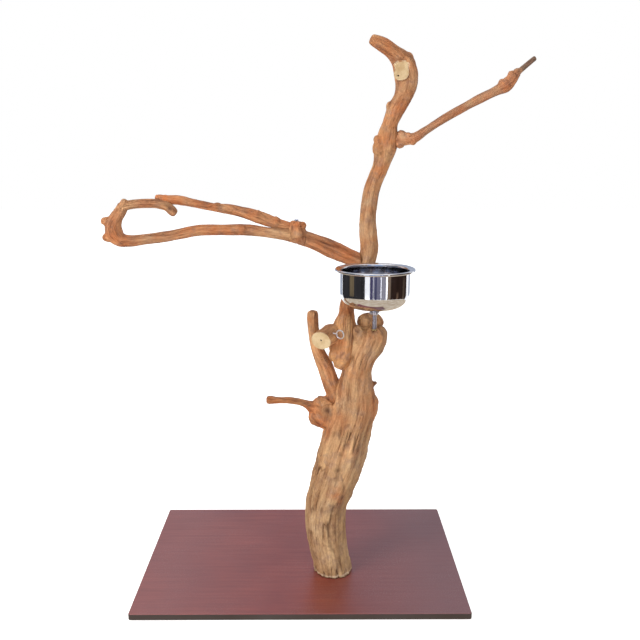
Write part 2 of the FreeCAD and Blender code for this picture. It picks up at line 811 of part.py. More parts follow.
def make_cup_bowl():
    """A drawn bowl: flat bottom, round corner, straight wall, flared and rolled rim."""
    bowl = new_body("cup_bowl")
    out, wall, corner, lip = "bowl_radius", "bowl_wall", "bowl_corner", "rim_fillet"
    flare = f"bowl_height - {wall} - {lip}"
    bead_x = "rim_radius - rim_bead"
    revolve(
        bowl, "drawn_shell", ("0", "0"),
        [
            (f"{out} - {corner}", "0"),
            (out, corner, f"{out} - {corner}", corner, "ccw", "y"),
            (out, flare),
            (f"{out} + {lip}", f"bowl_height - {wall}", f"{out} + {lip}", flare, "cw", "x"),
            (bead_x, f"bowl_height - {wall}"),
            (bead_x, "bowl_height"),
            (f"{out} + {lip}", "bowl_height"),
            (f"{out} - {wall}", flare, f"{out} + {lip}", flare, "ccw", "y"),
            (f"{out} - {wall}", corner),
            (f"{out} - {corner}", wall, f"{out} - {corner}", corner, "cw", "x"),
            ("0", wall),
            ("0", "0"),
        ],
    )
    doc.recompute()
    bead = bowl.newObject("Sketcher::SketchObject", "bead_section")
    bead.AttachmentSupport = (origin_plane(bowl, "XZ_Plane"), [""])
    bead.MapMode = "FlatFace"
    centre = Vector(worth(bead_x), worth("bowl_height - rim_bead"), 0)
    geo = bead.addGeometry(Part.Circle(centre, Vector(0, 0, 1), worth("rim_bead")), False)
    set_point(bead, geo, 3, (bead_x, "bowl_height - rim_bead"))
    index = bead.addConstraint(Sketcher.Constraint("Radius", geo, worth("rim_bead")))
    bead.setExpression(f"Constraints[{index}]", bound("rim_bead"))
    roll = bowl.newObject("PartDesign::Revolution", "rolled_bead")
    roll.Profile = bead
    roll.ReferenceAxis = (bead, ["V_Axis"])
    roll.Angle = 360
    bowl.Placement = Placement(cup_axis + Vector(0, 0, cup_bottom), Rotation())
    return bowl


def make_cup_boss():
    """The threaded boss welded under the bowl."""
    boss = new_body("cup_boss")
    bore_r = "stud_radius + thread_play"
    revolve(
        boss, "weld_boss", (bore_r, "0"),
        [
            ("boss_radius - 0.8", "0"),
            ("boss_radius", "0.8"),
            ("boss_radius", "boss_height"),
            ("0", "boss_height"),
            ("0", "boss_depth + face_play"),
            (bore_r, "boss_depth + face_play"),
            (bore_r, "0"),
        ],
    )
    boss.Placement = Placement(cup_axis + Vector(0, 0, boss_foot), Rotation())
    return boss


def make_cup_stud():
    stud = new_body("cup_stud")
    tall = "stud_engaged + stud_shown + boss_depth"
    revolve(
        stud, "rod", ("0", "0"),
        [
            ("stud_radius - stud_chamfer", "0"),
            ("stud_radius", "stud_chamfer"),
            ("stud_radius", f"{tall} - stud_chamfer"),
            ("stud_radius - stud_chamfer", tall),
            ("0", tall),
            ("0", "0"),
        ],
    )
    stud.Placement = Placement(insert_seat - Vector(0, 0, size("stud_engaged")), Rotation())
    return stud


def make_wing_nut():
    """A wing nut turned up against the boss, to lock the cup on its stud."""
    nut = new_body("wing_nut")
    bore_r = "stud_radius + thread_play"
    revolve(
        nut, "hub", (bore_r, "0"),
        [
            ("nut_low_radius", "0"),
            ("nut_top_radius", "nut_height - 1"),
            ("nut_top_radius", "nut_height"),
            (bore_r, "nut_height"),
            (bore_r, "0"),
        ],
    )
    top = "wing_low + wing_round * 2"
    start = "nut_low_radius - 0.6"
    sketch = outline(
        nut, "XZ_Plane", "wing_outline", (start, "wing_low - 1"),
        [
            ("wing_reach", "wing_low"),
            ("wing_reach", top, "wing_reach", "wing_low + wing_round", "ccw", "x"),
            (start, f"{top} - 0.8"),
            (start, "wing_low - 1"),
        ],
    )
    wing = nut.newObject("PartDesign::Pad", "wing")
    wing.Profile = sketch
    wing.Midplane = True
    wing.setExpression("Length", bound("wing_thick"))
    doc.recompute()
    pair = nut.newObject("PartDesign::PolarPattern", "wing_pair")
    pair.Originals = [wing]
    pair.Axis = (origin_plane(nut, "Z_Axis"), [""])
    pair.Angle = 360
    pair.Occurrences = 2
    nut.Tip = pair
    height = boss_foot - size("face_play") - size("nut_height")
    turn = Rotation(Vector(0, 0, 1), size("wing_angle"))
    nut.Placement = Placement(cup_axis + Vector(0, 0, height), turn)
    return nut


def make_insert():
    """The threaded insert let into the top of the trunk."""
    insert = new_body("stud_insert")
    bore_r = "stud_radius + thread_play"
    revolve(
        insert, "sleeve", (bore_r, "0"),
        [
            ("insert_radius", "0"),
            ("insert_radius", "insert_length - insert_lip"),
            ("insert_flange", "insert_length - insert_lip"),
            ("insert_flange", "insert_length"),
            (bore_r, "insert_length"),
            (bore_r, "0"),
        ],
    )
    insert.Placement = Placement(insert_seat - Vector(0, 0, size("insert_length")), Rotation())
    return insert


def make_screw_eye():
    """A screw eye: an open ring of wire and the shank that it turns into."""
    eye = doc.addObject("Part::Torus", "eye_ring_wire")
    eye.setExpression("Radius1", bound("eye_ring"))
    eye.setExpression("Radius2", bound("eye_wire"))
    eye.Angle3 = 335
    eye.Placement = Placement(Vector(0, 0, 0), Rotation(Vector(1, 0, 0), 90))
    shank = doc.addObject("Part::Cone", "eye_shank_wire")
    shank.setExpression("Radius1", bound("eye_wire"))
    shank.setExpression("Radius2", bound("eye_wire * 0.4"))
    shank.setExpression("Height", bound("eye_shank"))
    shank.setExpression("Placement.Base.x", bound("eye_ring"))
    shank.Placement.Rotation = Rotation(Vector(0, 1, 0), 90)
    joined = doc.addObject("Part::Fuse", "screw_eye")
    joined.Label = "screw_eye"
    joined.Base = eye
    joined.Tool = shank
    joined.Placement = Placement(eye_centre, Rotation(Vector(1, 0, 0), eye_way))
    return joined


def make_all():
    nodes = [
        make_base_board(),
        make_feet(),
        make_lag_bolt(),
        make_washer(),
        make_base_screws(),
        finished("trunk", make_trunk()),
        finished("tall_limb", make_tall_limb()),
        finished("right_perch", make_right_perch()),
        finished("left_perch", make_left_perch()),
        finished("return_perch", make_return_perch()),
        make_limb_screws(),
        placed_screw("fork_screw", "fork_screw", fork_seat, fork_aim),
        placed_screw("branch_screw", "branch_screw", branch_seat, branch_aim),
        placed_screw("knob_screw", "knob_screw", knob_top, knob_top - Vector(0, 0, 1)),
        placed_screw("loop_screw", "loop_screw", loop_seat, loop_seat - Vector(0, 1, 0)),
        make_insert(),
        make_cup_stud(),
        make_cup_boss(),
        make_cup_bowl(),
        make_wing_nut(),
        make_screw_eye(),
    ]
    doc.recompute()
    return nodes


nodes = make_all()
for thing in doc.Objects:
    if "Invalid" in thing.State or "Error" in thing.State:
        raise RuntimeError(f"{thing.Label} did not compute: {thing.State}")
os.makedirs("parts", exist_ok=True)
for node in nodes:
    if node.Shape.isNull() or not node.Shape.isValid():
        raise RuntimeError(f"{node.Label} has no valid shape")
    box = node.Shape.BoundBox
    print(f"{node.Label:16s} solids {len(node.Shape.Solids)} volume {node.Shape.Volume:12.1f} "
          f"x {box.XMin:7.1f} {box.XMax:7.1f} y {box.YMin:7.1f} {box.YMax:7.1f} "
          f"z {box.ZMin:7.1f} {box.ZMax:7.1f}")
    node.Shape.exportStep(f"parts/{node.Label}.step")
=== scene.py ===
import math
import bmesh
import bpy
import numpy as np
from mathutils import Matrix, Vector, noise


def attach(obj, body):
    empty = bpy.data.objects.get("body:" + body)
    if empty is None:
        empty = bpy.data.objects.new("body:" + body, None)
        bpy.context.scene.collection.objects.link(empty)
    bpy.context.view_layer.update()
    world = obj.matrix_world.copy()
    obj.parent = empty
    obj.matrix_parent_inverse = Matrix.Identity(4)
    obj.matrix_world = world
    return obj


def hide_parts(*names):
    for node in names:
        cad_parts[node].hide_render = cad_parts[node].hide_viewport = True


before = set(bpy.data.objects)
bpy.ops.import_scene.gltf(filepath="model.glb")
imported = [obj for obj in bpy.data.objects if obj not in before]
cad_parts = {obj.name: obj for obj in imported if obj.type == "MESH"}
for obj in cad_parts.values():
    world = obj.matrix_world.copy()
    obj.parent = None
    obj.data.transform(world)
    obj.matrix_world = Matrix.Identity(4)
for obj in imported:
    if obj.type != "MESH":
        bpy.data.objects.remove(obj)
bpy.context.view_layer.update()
print("frame loaded:", len(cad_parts), "pieces")


# colours are picked as 0-255 screen values, shaders want them linear
def linear(value):
    share = value / 255
    return share / 12.92 if share < 0.0404 else ((share + 0.055) / 1.055) ** 2.4


def paint(red, green, blue):
    return linear(red), linear(green), linear(blue), 1


def wire(tree, node, wires):
    for key, value in wires.items():
        if isinstance(value, bpy.types.NodeSocket):
            tree.links.new(value, node.inputs[key])
        else:
            node.inputs[key].default_value = value


def put(tree, kind, wires=None, **settings):
    node = tree.nodes.new("ShaderNode" + kind)
    for key, value in settings.items():
        setattr(node, key, value)
    wire(tree, node, wires or {})
    return node


def sums(tree, operation, a, b=0.0, clamp=False):
    return put(tree, "Math", {0: a, 1: b}, operation=operation, use_clamp=clamp).outputs[0]


def vectors(tree, operation, a, b):
    slot = 3 if operation == "SCALE" else 1
    return put(tree, "VectorMath", {0: a, slot: b}, operation=operation).outputs[0]


def clouds(tree, place, scale, detail, roughness=0.5):
    wires = {"Vector": place, "Scale": scale, "Detail": detail, "Roughness": roughness}
    return put(tree, "TexNoise", wires).outputs


def spread(tree, value, low, high, outLow=0.0, outHigh=1.0):
    return put(tree, "MapRange", {0: value, 1: low, 2: high, 3: outLow, 4: outHigh}).outputs[0]


def mixColour(tree, share, a, b, mode="MIX"):
    node = put(tree, "Mix", {0: share, 6: a, 7: b}, data_type="RGBA", blend_type=mode)
    return node.outputs[2]


def newGroup(name, inputs, outputs):
    group = bpy.data.node_groups.new(name, "ShaderNodeTree")
    for label, kind, value in inputs:
        socket = group.interface.new_socket(name=label, in_out="INPUT", socket_type="NodeSocket" + kind)
        if value is not None:
            socket.default_value = value
    for label, kind in outputs:
        group.interface.new_socket(name=label, in_out="OUTPUT", socket_type="NodeSocket" + kind)
    return group, group.nodes.new("NodeGroupInput").outputs, group.nodes.new("NodeGroupOutput").inputs


def fillGroup(tree, group, wires):
    node = tree.nodes.new("ShaderNodeGroup")
    node.node_tree = group
    wire(tree, node, wires)
    return node.outputs


# streaks and fibres that run along the branch, in its own straightened coordinates
def makeLongGrain():
    group, given, result = newGroup(
        "longGrain",
        [("Grain", "Vector", None), ("Width", "Float", 90.0), ("Stretch", "Float", 0.1),
         ("Wander", "Float", 0.6)],
        [("Streak", "Float"), ("Fibre", "Float"), ("Fleck", "Float"), ("Split", "Float"),
         ("Speckle", "Float")],
    )
    ratio = put(group, "CombineXYZ", {0: 1.0, 1: 1.0, 2: given["Stretch"]}).outputs[0]
    wide = vectors(group, "SCALE", given["Grain"], given["Width"])
    wide = vectors(group, "MULTIPLY", wide, ratio)
    sway = clouds(group, wide, 0.55, 2.0)["Color"]
    sway = vectors(group, "SUBTRACT", sway, (0.5, 0.5, 0.5))
    sway = vectors(group, "SCALE", sway, given["Wander"])
    bent = vectors(group, "ADD", wide, sway)
    streak = clouds(group, bent, 1.0, 5.0, 0.62)[0]
    fibre = clouds(group, bent, 5.0, 4.0, 0.7)[0]
    spot = put(group, "TexVoronoi", {"Vector": bent, "Scale": 2.3, "Randomness": 1.0}).outputs["Distance"]
    split = clouds(group, bent, 1.7, 3.0)[0]
    ridge = sums(group, "ABSOLUTE", sums(group, "SUBTRACT", split, 0.5))
    loose = vectors(group, "MULTIPLY", given["Grain"], (1, 1, 0.45))
    speckle = clouds(group, loose, 420.0, 3.0, 0.65)[0]
    group.links.new(spread(group, speckle, 0.34, 0.66), result["Speckle"])
    group.links.new(spread(group, streak, 0.32, 0.68), result["Streak"])
    group.links.new(spread(group, fibre, 0.3, 0.7), result["Fibre"])
    group.links.new(spread(group, spot, 0.05, 0.28, 1.0, 0.0), result["Fleck"])
    thin = spread(group, ridge, 0.0, 0.02, 1.0, 0.0)
    broken = sums(group, "MULTIPLY", thin, spread(group, streak, 0.4, 0.5, 1.0, 0.0))
    group.links.new(broken, result["Split"])
    return group


# cloudy patches, for stain, bleaching and smears
def makePatches():
    group, given, result = newGroup(
        "patches",
        [("Place", "Vector", None), ("Size", "Float", 20.0), ("Low", "Float", 0.42), ("High", "Float", 0.6)],
        [("Mask", "Float")],
    )
    cloud = clouds(group, given["Place"], given["Size"], 4.0, 0.6)[0]
    group.links.new(spread(group, cloud, given["Low"], given["High"]), result["Mask"])
    return group


# year rings, drying cracks and pith of a sawn face
def makePithRings():
    group, given, result = newGroup(
        "pithRings",
        [("Grain", "Vector", None), ("Rings", "Float", 2600.0), ("Pith", "Float", 0.0016)],
        [("Ring", "Float"), ("Crack", "Float"), ("Core", "Float")],
    )
    flat = vectors(group, "MULTIPLY", given["Grain"], (1, 1, 0))
    wobble = clouds(group, flat, 160.0, 3.0)[0]
    away = put(group, "VectorMath", {0: flat}, operation="LENGTH").outputs[1]
    wobble = sums(group, "MULTIPLY", sums(group, "SUBTRACT", wobble, 0.5), 0.0022)
    bent = sums(group, "ADD", away, wobble)
    ring = sums(group, "SINE", sums(group, "MULTIPLY", bent, given["Rings"]))
    way = put(group, "VectorMath", {0: flat}, operation="NORMALIZE").outputs[0]
    star = clouds(group, way, 1.7, 2.0)[0]
    star = sums(group, "ABSOLUTE", sums(group, "SUBTRACT", star, 0.5))
    inside = spread(group, away, 0.002, 0.009, 1.0, 0.0)
    crack = sums(group, "MULTIPLY", spread(group, star, 0.0, 0.006, 1.0, 0.0), inside)
    core = spread(group, bent, sums(group, "MULTIPLY", given["Pith"], 0.6), given["Pith"], 1.0, 0.0)
    group.links.new(spread(group, ring, -1.0, 1.0), result["Ring"])
    group.links.new(crack, result["Crack"])
    group.links.new(core, result["Core"])
    return group


# hairline polishing marks and finger smears on metal
def makeFineLines():
    group, given, result = newGroup(
        "fineLines",
        [("Place", "Vector", None), ("Across", "Float", 1500.0), ("Along", "Float", 20.0)],
        [("Line", "Float"), ("Smear", "Float")],
    )
    ratio = put(group, "CombineXYZ", {0: given["Along"], 1: given["Along"], 2: given["Across"]}).outputs[0]
    wide = vectors(group, "MULTIPLY", given["Place"], ratio)
    line = clouds(group, wide, 1.0, 3.0, 0.7)[0]
    smear = clouds(group, given["Place"], 45.0, 3.0, 0.55)[0]
    group.links.new(line, result["Line"])
    group.links.new(spread(group, smear, 0.4, 0.72), result["Smear"])
    return group


# dust that lies in specks on faces that look up
def makeDust():
    group, given, result = newGroup(
        "settledDust",
        [("Place", "Vector", None), ("Amount", "Float", 0.3), ("Speck", "Float", 900.0)],
        [("Mask", "Float")],
    )
    up = put(group, "SeparateXYZ", {0: put(group, "NewGeometry").outputs["Normal"]}).outputs[2]
    fine = clouds(group, given["Place"], given["Speck"], 2.0)[0]
    cloud = clouds(group, given["Place"], 9.0, 4.0)[0]
    mask = sums(group, "MULTIPLY", spread(group, fine, 0.52, 0.7), spread(group, cloud, 0.35, 0.65))
    mask = sums(group, "MULTIPLY", mask, spread(group, up, 0.3, 0.95))
    group.links.new(sums(group, "MULTIPLY", mask, given["Amount"], True), result["Mask"])
    return group


longGrain = makeLongGrain()
patches = makePatches()
pithRings = makePithRings()
fineLines = makeFineLines()
settledDust = makeDust()
print("shared shader groups made")


def newMaterial(name, kind="BsdfPrincipled"):
    material = bpy.data.materials.new(name)
    material.use_nodes = True
    tree = material.node_tree
    tree.nodes.clear()
    surface = put(tree, kind)
    put(tree, "OutputMaterial", {0: surface.outputs[0]})
    return material, tree, surface


def readAttribute(tree, name):
    return put(tree, "Attribute", attribute_name=name).outputs


def placeOf(tree):
    return put(tree, "TexCoord").outputs["Object"]


def patchMask(tree, place, size, low, high):
    return fillGroup(tree, patches, {"Place": place, "Size": size, "Low": low, "High": high})["Mask"]


# one for what the camera sees straight on, in a mirror or through glass, else nothing
def seenDirectly(tree):
    path = put(tree, "LightPath").outputs
    mirrored = sums(tree, "MAXIMUM", path["Is Glossy Ray"], path["Is Transmission Ray"])
    return sums(tree, "MAXIMUM", path["Is Camera Ray"], mirrored)


def addBump(tree, surface, height, strength, distance):
    bump = put(tree, "Bump", {"Height": height, "Strength": strength, "Distance": distance})
    tree.links.new(bump.outputs[0], surface.inputs["Normal"])


# sand-blasted branch wood: streaks on patches, hollows darkened with painted shade, pale rims where sawn
def branchWood(name, look):
    material, tree, surface = newMaterial(name)
    grain = readAttribute(tree, "grain")["Vector"]
    masks = ("hollowShade", "tone", "pale", "warmth", "shadeAndDarkSpots", "ash")
    hollowShade, tone, pale, warmth, shadeAndDarkSpots, ash = (readAttribute(tree, mask)["Fac"] for mask in masks)
    place = placeOf(tree)
    lines = fillGroup(tree, longGrain, {
        "Grain": grain, "Width": look["width"], "Stretch": look["stretch"], "Wander": look["wander"]})
    big = patchMask(tree, place, look["patch"], 0.4, 0.62)
    small = patchMask(tree, place, look["patch"] * 3.1, 0.5, 0.66)
    colour = mixColour(tree, big, look["body"], look["warm"])
    colour = mixColour(tree, tone, colour, look["other"])
    wide = patchMask(tree, place, look["patch"] * 0.6, 0.5, 0.66)
    colour = mixColour(tree, sums(tree, "MULTIPLY", wide, look["creamShare"]), colour, look["cream"])
    colour = mixColour(tree, warmth, colour, look["orange"])
    colour = mixColour(tree, ash, colour, look["ash"])
    colour = mixColour(tree, sums(tree, "MULTIPLY", small, look["mauveShare"]), colour, look["mauve"])
    light = sums(tree, "MULTIPLY", lines["Streak"], look["lightShare"])
    colour = mixColour(tree, light, colour, look["light"], "SCREEN")
    dark = sums(tree, "MULTIPLY", sums(tree, "SUBTRACT", 1.0, lines["Streak"]), look["darkShare"])
    colour = mixColour(tree, dark, colour, look["dark"], "MULTIPLY")
    colour = mixColour(tree, sums(tree, "MULTIPLY", lines["Fibre"], 0.45), colour, look["light"], "SCREEN")
    grit = sums(tree, "SUBTRACT", 1.0, lines["Speckle"])
    colour = mixColour(tree, sums(tree, "MULTIPLY", grit, look["gritShare"]), colour, look["dark"], "MULTIPLY")
    fine = sums(tree, "MULTIPLY", lines["Split"], look["splitShare"])
    colour = mixColour(tree, fine, colour, look["deep"])
    fleck = sums(tree, "MULTIPLY", lines["Fleck"], look["fleckShare"])
    colour = mixColour(tree, fleck, colour, look["deep"])
    # painted shade: hollows, creases and joins darken towards the deep colour
    shade = sums(tree, "MAXIMUM", sums(tree, "MULTIPLY", hollowShade, look["hollowShadeShare"], True), shadeAndDarkSpots)
    colour = mixColour(tree, shade, colour, look["deep"])
    colour = mixColour(tree, pale, colour, look["sawn"])
    tree.links.new(colour, surface.inputs["Base Color"])
    rough = spread(tree, lines["Streak"], 0.0, 1.0, look["rough"] + 0.1, look["rough"] - 0.06)
    tree.links.new(sums(tree, "ADD", rough, sums(tree, "MULTIPLY", hollowShade, 0.12)), surface.inputs["Roughness"])
    surface.inputs["Specular IOR Level"].default_value = 0.32
    height = sums(tree, "MULTIPLY", lines["Fibre"], 0.35)
    height = sums(tree, "ADD", height, sums(tree, "MULTIPLY", lines["Streak"], 0.6))
    height = sums(tree, "SUBTRACT", height, sums(tree, "MULTIPLY", lines["Split"], 0.5))
    addBump(tree, surface, height, look["bump"], 0.0018)
    return material


# cream sawn face with rings, drying cracks and a dark pith
def sawnWood(name, look):
    material, tree, surface = newMaterial(name)
    grain = readAttribute(tree, "sawFace")["Vector"]
    face = fillGroup(tree, pithRings, {"Grain": grain, "Rings": look["rings"], "Pith": look["pith"]})
    kerf = clouds(tree, placeOf(tree), 700.0, 2.0)[0]
    stain = patchMask(tree, placeOf(tree), 90.0, 0.4, 0.7)
    colour = mixColour(tree, sums(tree, "MULTIPLY", face["Ring"], 0.5), look["cream"], look["tan"])
    colour = mixColour(tree, sums(tree, "MULTIPLY", stain, 0.7), colour, look["stain"])
    colour = mixColour(tree, sums(tree, "MULTIPLY", face["Crack"], 0.4), colour, look["dark"])
    colour = mixColour(tree, face["Core"], colour, look["core"])
    tree.links.new(colour, surface.inputs["Base Color"])
    tree.links.new(spread(tree, kerf, 0.3, 0.7, 0.62, 0.8), surface.inputs["Roughness"])
    surface.inputs["Specular IOR Level"].default_value = 0.25
    sunken = sums(tree, "ADD", face["Crack"], face["Core"])
    addBump(tree, surface, sums(tree, "SUBTRACT", sums(tree, "MULTIPLY", kerf, 0.4), sunken), 0.5, 0.0012)
    return material


def metalFinish(name, look):
    material, tree, surface = newMaterial(name)
    marks = fillGroup(tree, fineLines, {
        "Place": placeOf(tree), "Across": look["across"], "Along": look["along"]})
    colour = mixColour(tree, sums(tree, "MULTIPLY", marks["Smear"], look["smear"]), look["body"], look["dull"])
    tree.links.new(colour, surface.inputs["Base Color"])
    smeared = sums(tree, "ADD", sums(tree, "MULTIPLY", marks["Smear"], look["roughSpread"]), look["rough"])
    scratched = sums(tree, "MULTIPLY", marks["Line"], look["roughSpread"] * 0.6)
    tree.links.new(sums(tree, "ADD", smeared, scratched), surface.inputs["Roughness"])
    surface.inputs["Metallic"].default_value = 1.0
    addBump(tree, surface, marks["Line"], look["bump"], 0.00005)
    return material


def circleVerts(mesh, middle, radius, height, around):
    return [mesh.verts.new((middle[0] + radius * math.cos(a), middle[1] + radius * math.sin(a), height))
            for a in np.arange(around) / around * 2 * math.pi]


def bridge(mesh, low, high):
    count = len(low)
    return [mesh.faces.new((low[k], low[(k + 1) % count], high[(k + 1) % count], high[k]))
            for k in range(count)]


# a value for each point of a mesh, there and back
def readPoints(data, key):
    values = np.empty(len(data.vertices) * 3)
    data.vertices.foreach_get(key, values)
    return values.reshape(-1, 3)


def storePoints(data, name, values):
    kind, key = ("FLOAT_VECTOR", "vector") if values.ndim == 2 else ("FLOAT", "value")
    data.attributes.new(name, kind, "POINT").data.foreach_set(key, values.ravel())


# stations are x, y, z and the radius, with a second radius where the branch isn't round
def followStations(stations, step=0.003, facing=(0, -1, 0)):
    given = np.array([row if len(row) == 5 else (*row, row[3]) for row in stations], float)
    gaps = np.linalg.norm(np.diff(given[:, :3], axis=0), axis=1)
    slopes = np.diff(given, axis=0) / gaps[:, None]
    between = slopes[:-1] * gaps[1:, None] + slopes[1:] * gaps[:-1, None]
    turns = np.vstack([slopes[:1], between / (gaps[:-1] + gaps[1:])[:, None], slopes[-1:]])
    rows = []
    for i, gap in enumerate(gaps):
        count = max(2, int(round(gap / step)))
        for t in np.arange(count) / count:
            a, b = 2 * t**3 - 3 * t**2 + 1, t**3 - 2 * t**2 + t
            c, d = -2 * t**3 + 3 * t**2, t**3 - t**2
            rows.append(a * given[i] + b * gap * turns[i] + c * given[i + 1] + d * gap * turns[i + 1])
    rows.append(given[-1])
    rows = np.array(rows)
    point = rows[:, :3]
    run = np.concatenate([[0], np.cumsum(np.linalg.norm(np.diff(point, axis=0), axis=1))])
    ahead = np.gradient(point, axis=0)
    ahead /= np.linalg.norm(ahead, axis=1)[:, None]
    side = np.zeros_like(point)
    last = np.array(facing, float)
    for i in range(len(point)):
        last = last - ahead[i] * last.dot(ahead[i])
        last /= np.linalg.norm(last)
        side[i] = last
    return {"point": point, "radius": rows[:, 3:5], "run": run, "ahead": ahead, "side": side,
            "up": np.cross(ahead, side)}


def addTube(mesh, spine, lobes, seed, roundEnds=(0.4, 0.4), around=40):
    point, radius, ahead = spine["point"], spine["radius"], spine["ahead"]
    angles = np.arange(around) / around * 2 * math.pi
    rings = []

    def ringAt(i, centre, share):
        ring = []
        for a in angles:
            bulge = noise.noise((math.cos(a) * 1.1 + seed, math.sin(a) * 1.1, spine["run"][i] * 9 + seed))
            reach = (1 + lobes * bulge) * share
            spot = centre + spine["side"][i] * math.cos(a) * radius[i][0] * reach
            spot = spot + spine["up"][i] * math.sin(a) * radius[i][1] * reach
            ring.append(mesh.verts.new(spot))
        return ring

    caps = [math.radians(a) for a in (75, 50, 25)]
    first, last = 0, len(point) - 1
    depth = [roundEnds[0] * radius[first].mean(), roundEnds[1] * radius[last].mean()]
    run = spine["run"]
    inner = [i for i in range(len(point)) if run[i] > depth[0] and run[-1] - run[i] > depth[1]]
    for a in caps:
        rings.append(ringAt(inner[0], point[first] + ahead[first] * depth[0] * (1 - math.sin(a)), math.cos(a)))
    for i in inner:
        rings.append(ringAt(i, point[i], 1.0))
    for a in reversed(caps):
        rings.append(ringAt(inner[-1], point[last] - ahead[last] * depth[1] * (1 - math.sin(a)), math.cos(a)))
    for low, high in zip(rings[:-1], rings[1:]):
        bridge(mesh, low, high)
    mesh.faces.new(list(reversed(rings[0])))
    mesh.faces.new(rings[-1])


def addBurl(mesh, centre, radii):
    made = bmesh.ops.create_icosphere(mesh, subdivisions=4, radius=1.0)["verts"]
    for v in made:
        lump = 1 + 0.1 * noise.noise(v.co * 1.7 + Vector(centre) * 40)
        v.co = Vector(centre) + Vector((v.co.x * radii[0], v.co.y * radii[1], v.co.z * radii[2])) * lump


def meshObject(name, mesh):
    data = bpy.data.meshes.new(name)
    mesh.to_mesh(data)
    mesh.free()
    piece = bpy.data.objects.new(name, data)
    bpy.context.scene.collection.objects.link(piece)
    return piece


# modifiers are worked out into the mesh, so the piece leaves with none
def settle(piece):
    bpy.context.view_layer.update()
    settled = bpy.data.meshes.new_from_object(piece.evaluated_get(bpy.context.evaluated_depsgraph_get()))
    piece.modifiers.clear()
    old = piece.data
    piece.data = settled
    bpy.data.meshes.remove(old)
    settled.name = piece.name


# where each point lies in its branch's own straightened coordinates, with the branch's radius and tone
def readGrain(spots, spines):
    best = np.full(len(spots), 1e9)
    grain = np.zeros((len(spots), 3))
    radius = np.zeros(len(spots))
    toneSum = np.zeros(len(spots))
    weights = np.zeros(len(spots))
    for spine in spines:
        thick = spine["radius"].mean(axis=1)
        for begin in range(0, len(spots), 4000):
            part = spots[begin:begin + 4000]
            away = np.linalg.norm(part[:, None, :] - spine["point"][None], axis=2)
            near = (away / thick[None]).argmin(axis=1)
            score = away[np.arange(len(part)), near] / thick[near]
            offset = part - spine["point"][near]
            local = np.stack([
                (offset * spine["side"][near]).sum(1),
                (offset * spine["up"][near]).sum(1),
                spine["start"] + spine["run"][near] + (offset * spine["ahead"][near]).sum(1),
            ], axis=1)
            rows = np.arange(begin, begin + len(part))
            better = score < best[rows]
            grain[rows[better]] = local[better]
            radius[rows[better]] = thick[near][better]
            best[rows[better]] = score[better]
            weight = np.exp(-7 * score)
            share = spine["run"][near] / spine["run"][-1]
            toneSum[rows] += weight * (spine["tone"][0] + (spine["tone"][1] - spine["tone"][0]) * share)
            weights[rows] += weight
    return grain, radius, toneSum / np.maximum(weights, 1e-12)


def noiseAt(spots):
    return np.array([noise.noise(s) for s in spots.tolist()])


def awayFromLine(spots, line):
    best = np.full(len(spots), 1e9)
    for a, b in zip(np.array(line[:-1], float), np.array(line[1:], float)):
        along = np.clip(((spots - a) @ (b - a)) / ((b - a) @ (b - a)), 0, 1)
        best = np.minimum(best, np.linalg.norm(spots - a - along[:, None] * (b - a), axis=1))
    return best


# ridges, cracks, lumps and creases, moved along the surface's own normals
def weather(piece, spines, look):
    data = piece.data
    spots = readPoints(data, "co")
    normals = readPoints(data, "normal")
    grain, radius, _ = readGrain(spots, spines)
    size = np.clip(radius / look["fullRadius"], 0.2, 1.3)
    angle = np.arctan2(grain[:, 1], grain[:, 0])
    ring = np.stack([np.cos(angle), np.sin(angle)], axis=1)
    seed = look["seed"]

    def along(turns, length):
        around = ring * turns * size[:, None] ** 0.5 + seed
        return noiseAt(np.column_stack([around, grain[:, 2] * length + seed]))

    turns, rate = look["ridgeTurns"], look["ridgeRate"]
    ridges = along(turns, rate)
    fibres = along(turns * 4.2, rate * 3.2)
    cuts = 1 - np.abs(along(turns * 1.9, rate * 1.3)) / look["cutWidth"]
    cuts = np.clip(cuts, 0, 1) ** 1.4
    where = np.clip(noiseAt(spots * look["coverRate"] + seed) * 2.2 + look["cutCover"], 0, 1)
    lumps = noiseAt(spots * look["lumpRate"] + seed)
    pits = noiseAt(spots * look["pitRate"] + seed)
    knobs = np.clip(noiseAt(spots * look["lumpRate"] * 2.6 + seed) - 0.12, 0, 1)
    shift = size * (ridges * look["ridge"] + lumps * look["lump"])
    shift = shift + fibres * look["fibre"] * np.sqrt(size) + pits * look["pit"]
    shift += knobs * look["knob"] * size
    shift -= cuts * where * look["cut"] * size
    # painted shade: the cut grooves, the fibre valleys and the creases below are darkened where shade falls in
    # them
    hollowShade = np.clip(cuts * where * look["cutShade"], 0, 1) + np.clip(-fibres * 0.5 - 0.1, 0, 0.35)
    for line, width, depth, shade in look["creases"]:
        wiggle = 1 + 0.35 * pits
        fall = np.exp(-(awayFromLine(spots, line) / (width * wiggle)) ** 2)
        shift -= fall * depth
        hollowShade += fall * shade
    foot = look.get("foot")
    if foot:
        near = np.clip(1 - (spots[:, 2] - foot["level"]) / foot["height"], 0, 1)
        chips = np.clip(noiseAt(np.column_stack([ring * 9, spots[:, 2] * 60])) + 0.15, 0, 1)
        shift -= near * (chips * foot["chip"] - foot["flare"])
    shift -= look["inset"]
    spots = spots + normals * shift[:, None]
    data.vertices.foreach_set("co", spots.ravel())
    storePoints(data, "hollowShade", np.clip(hollowShade, 0, 1))


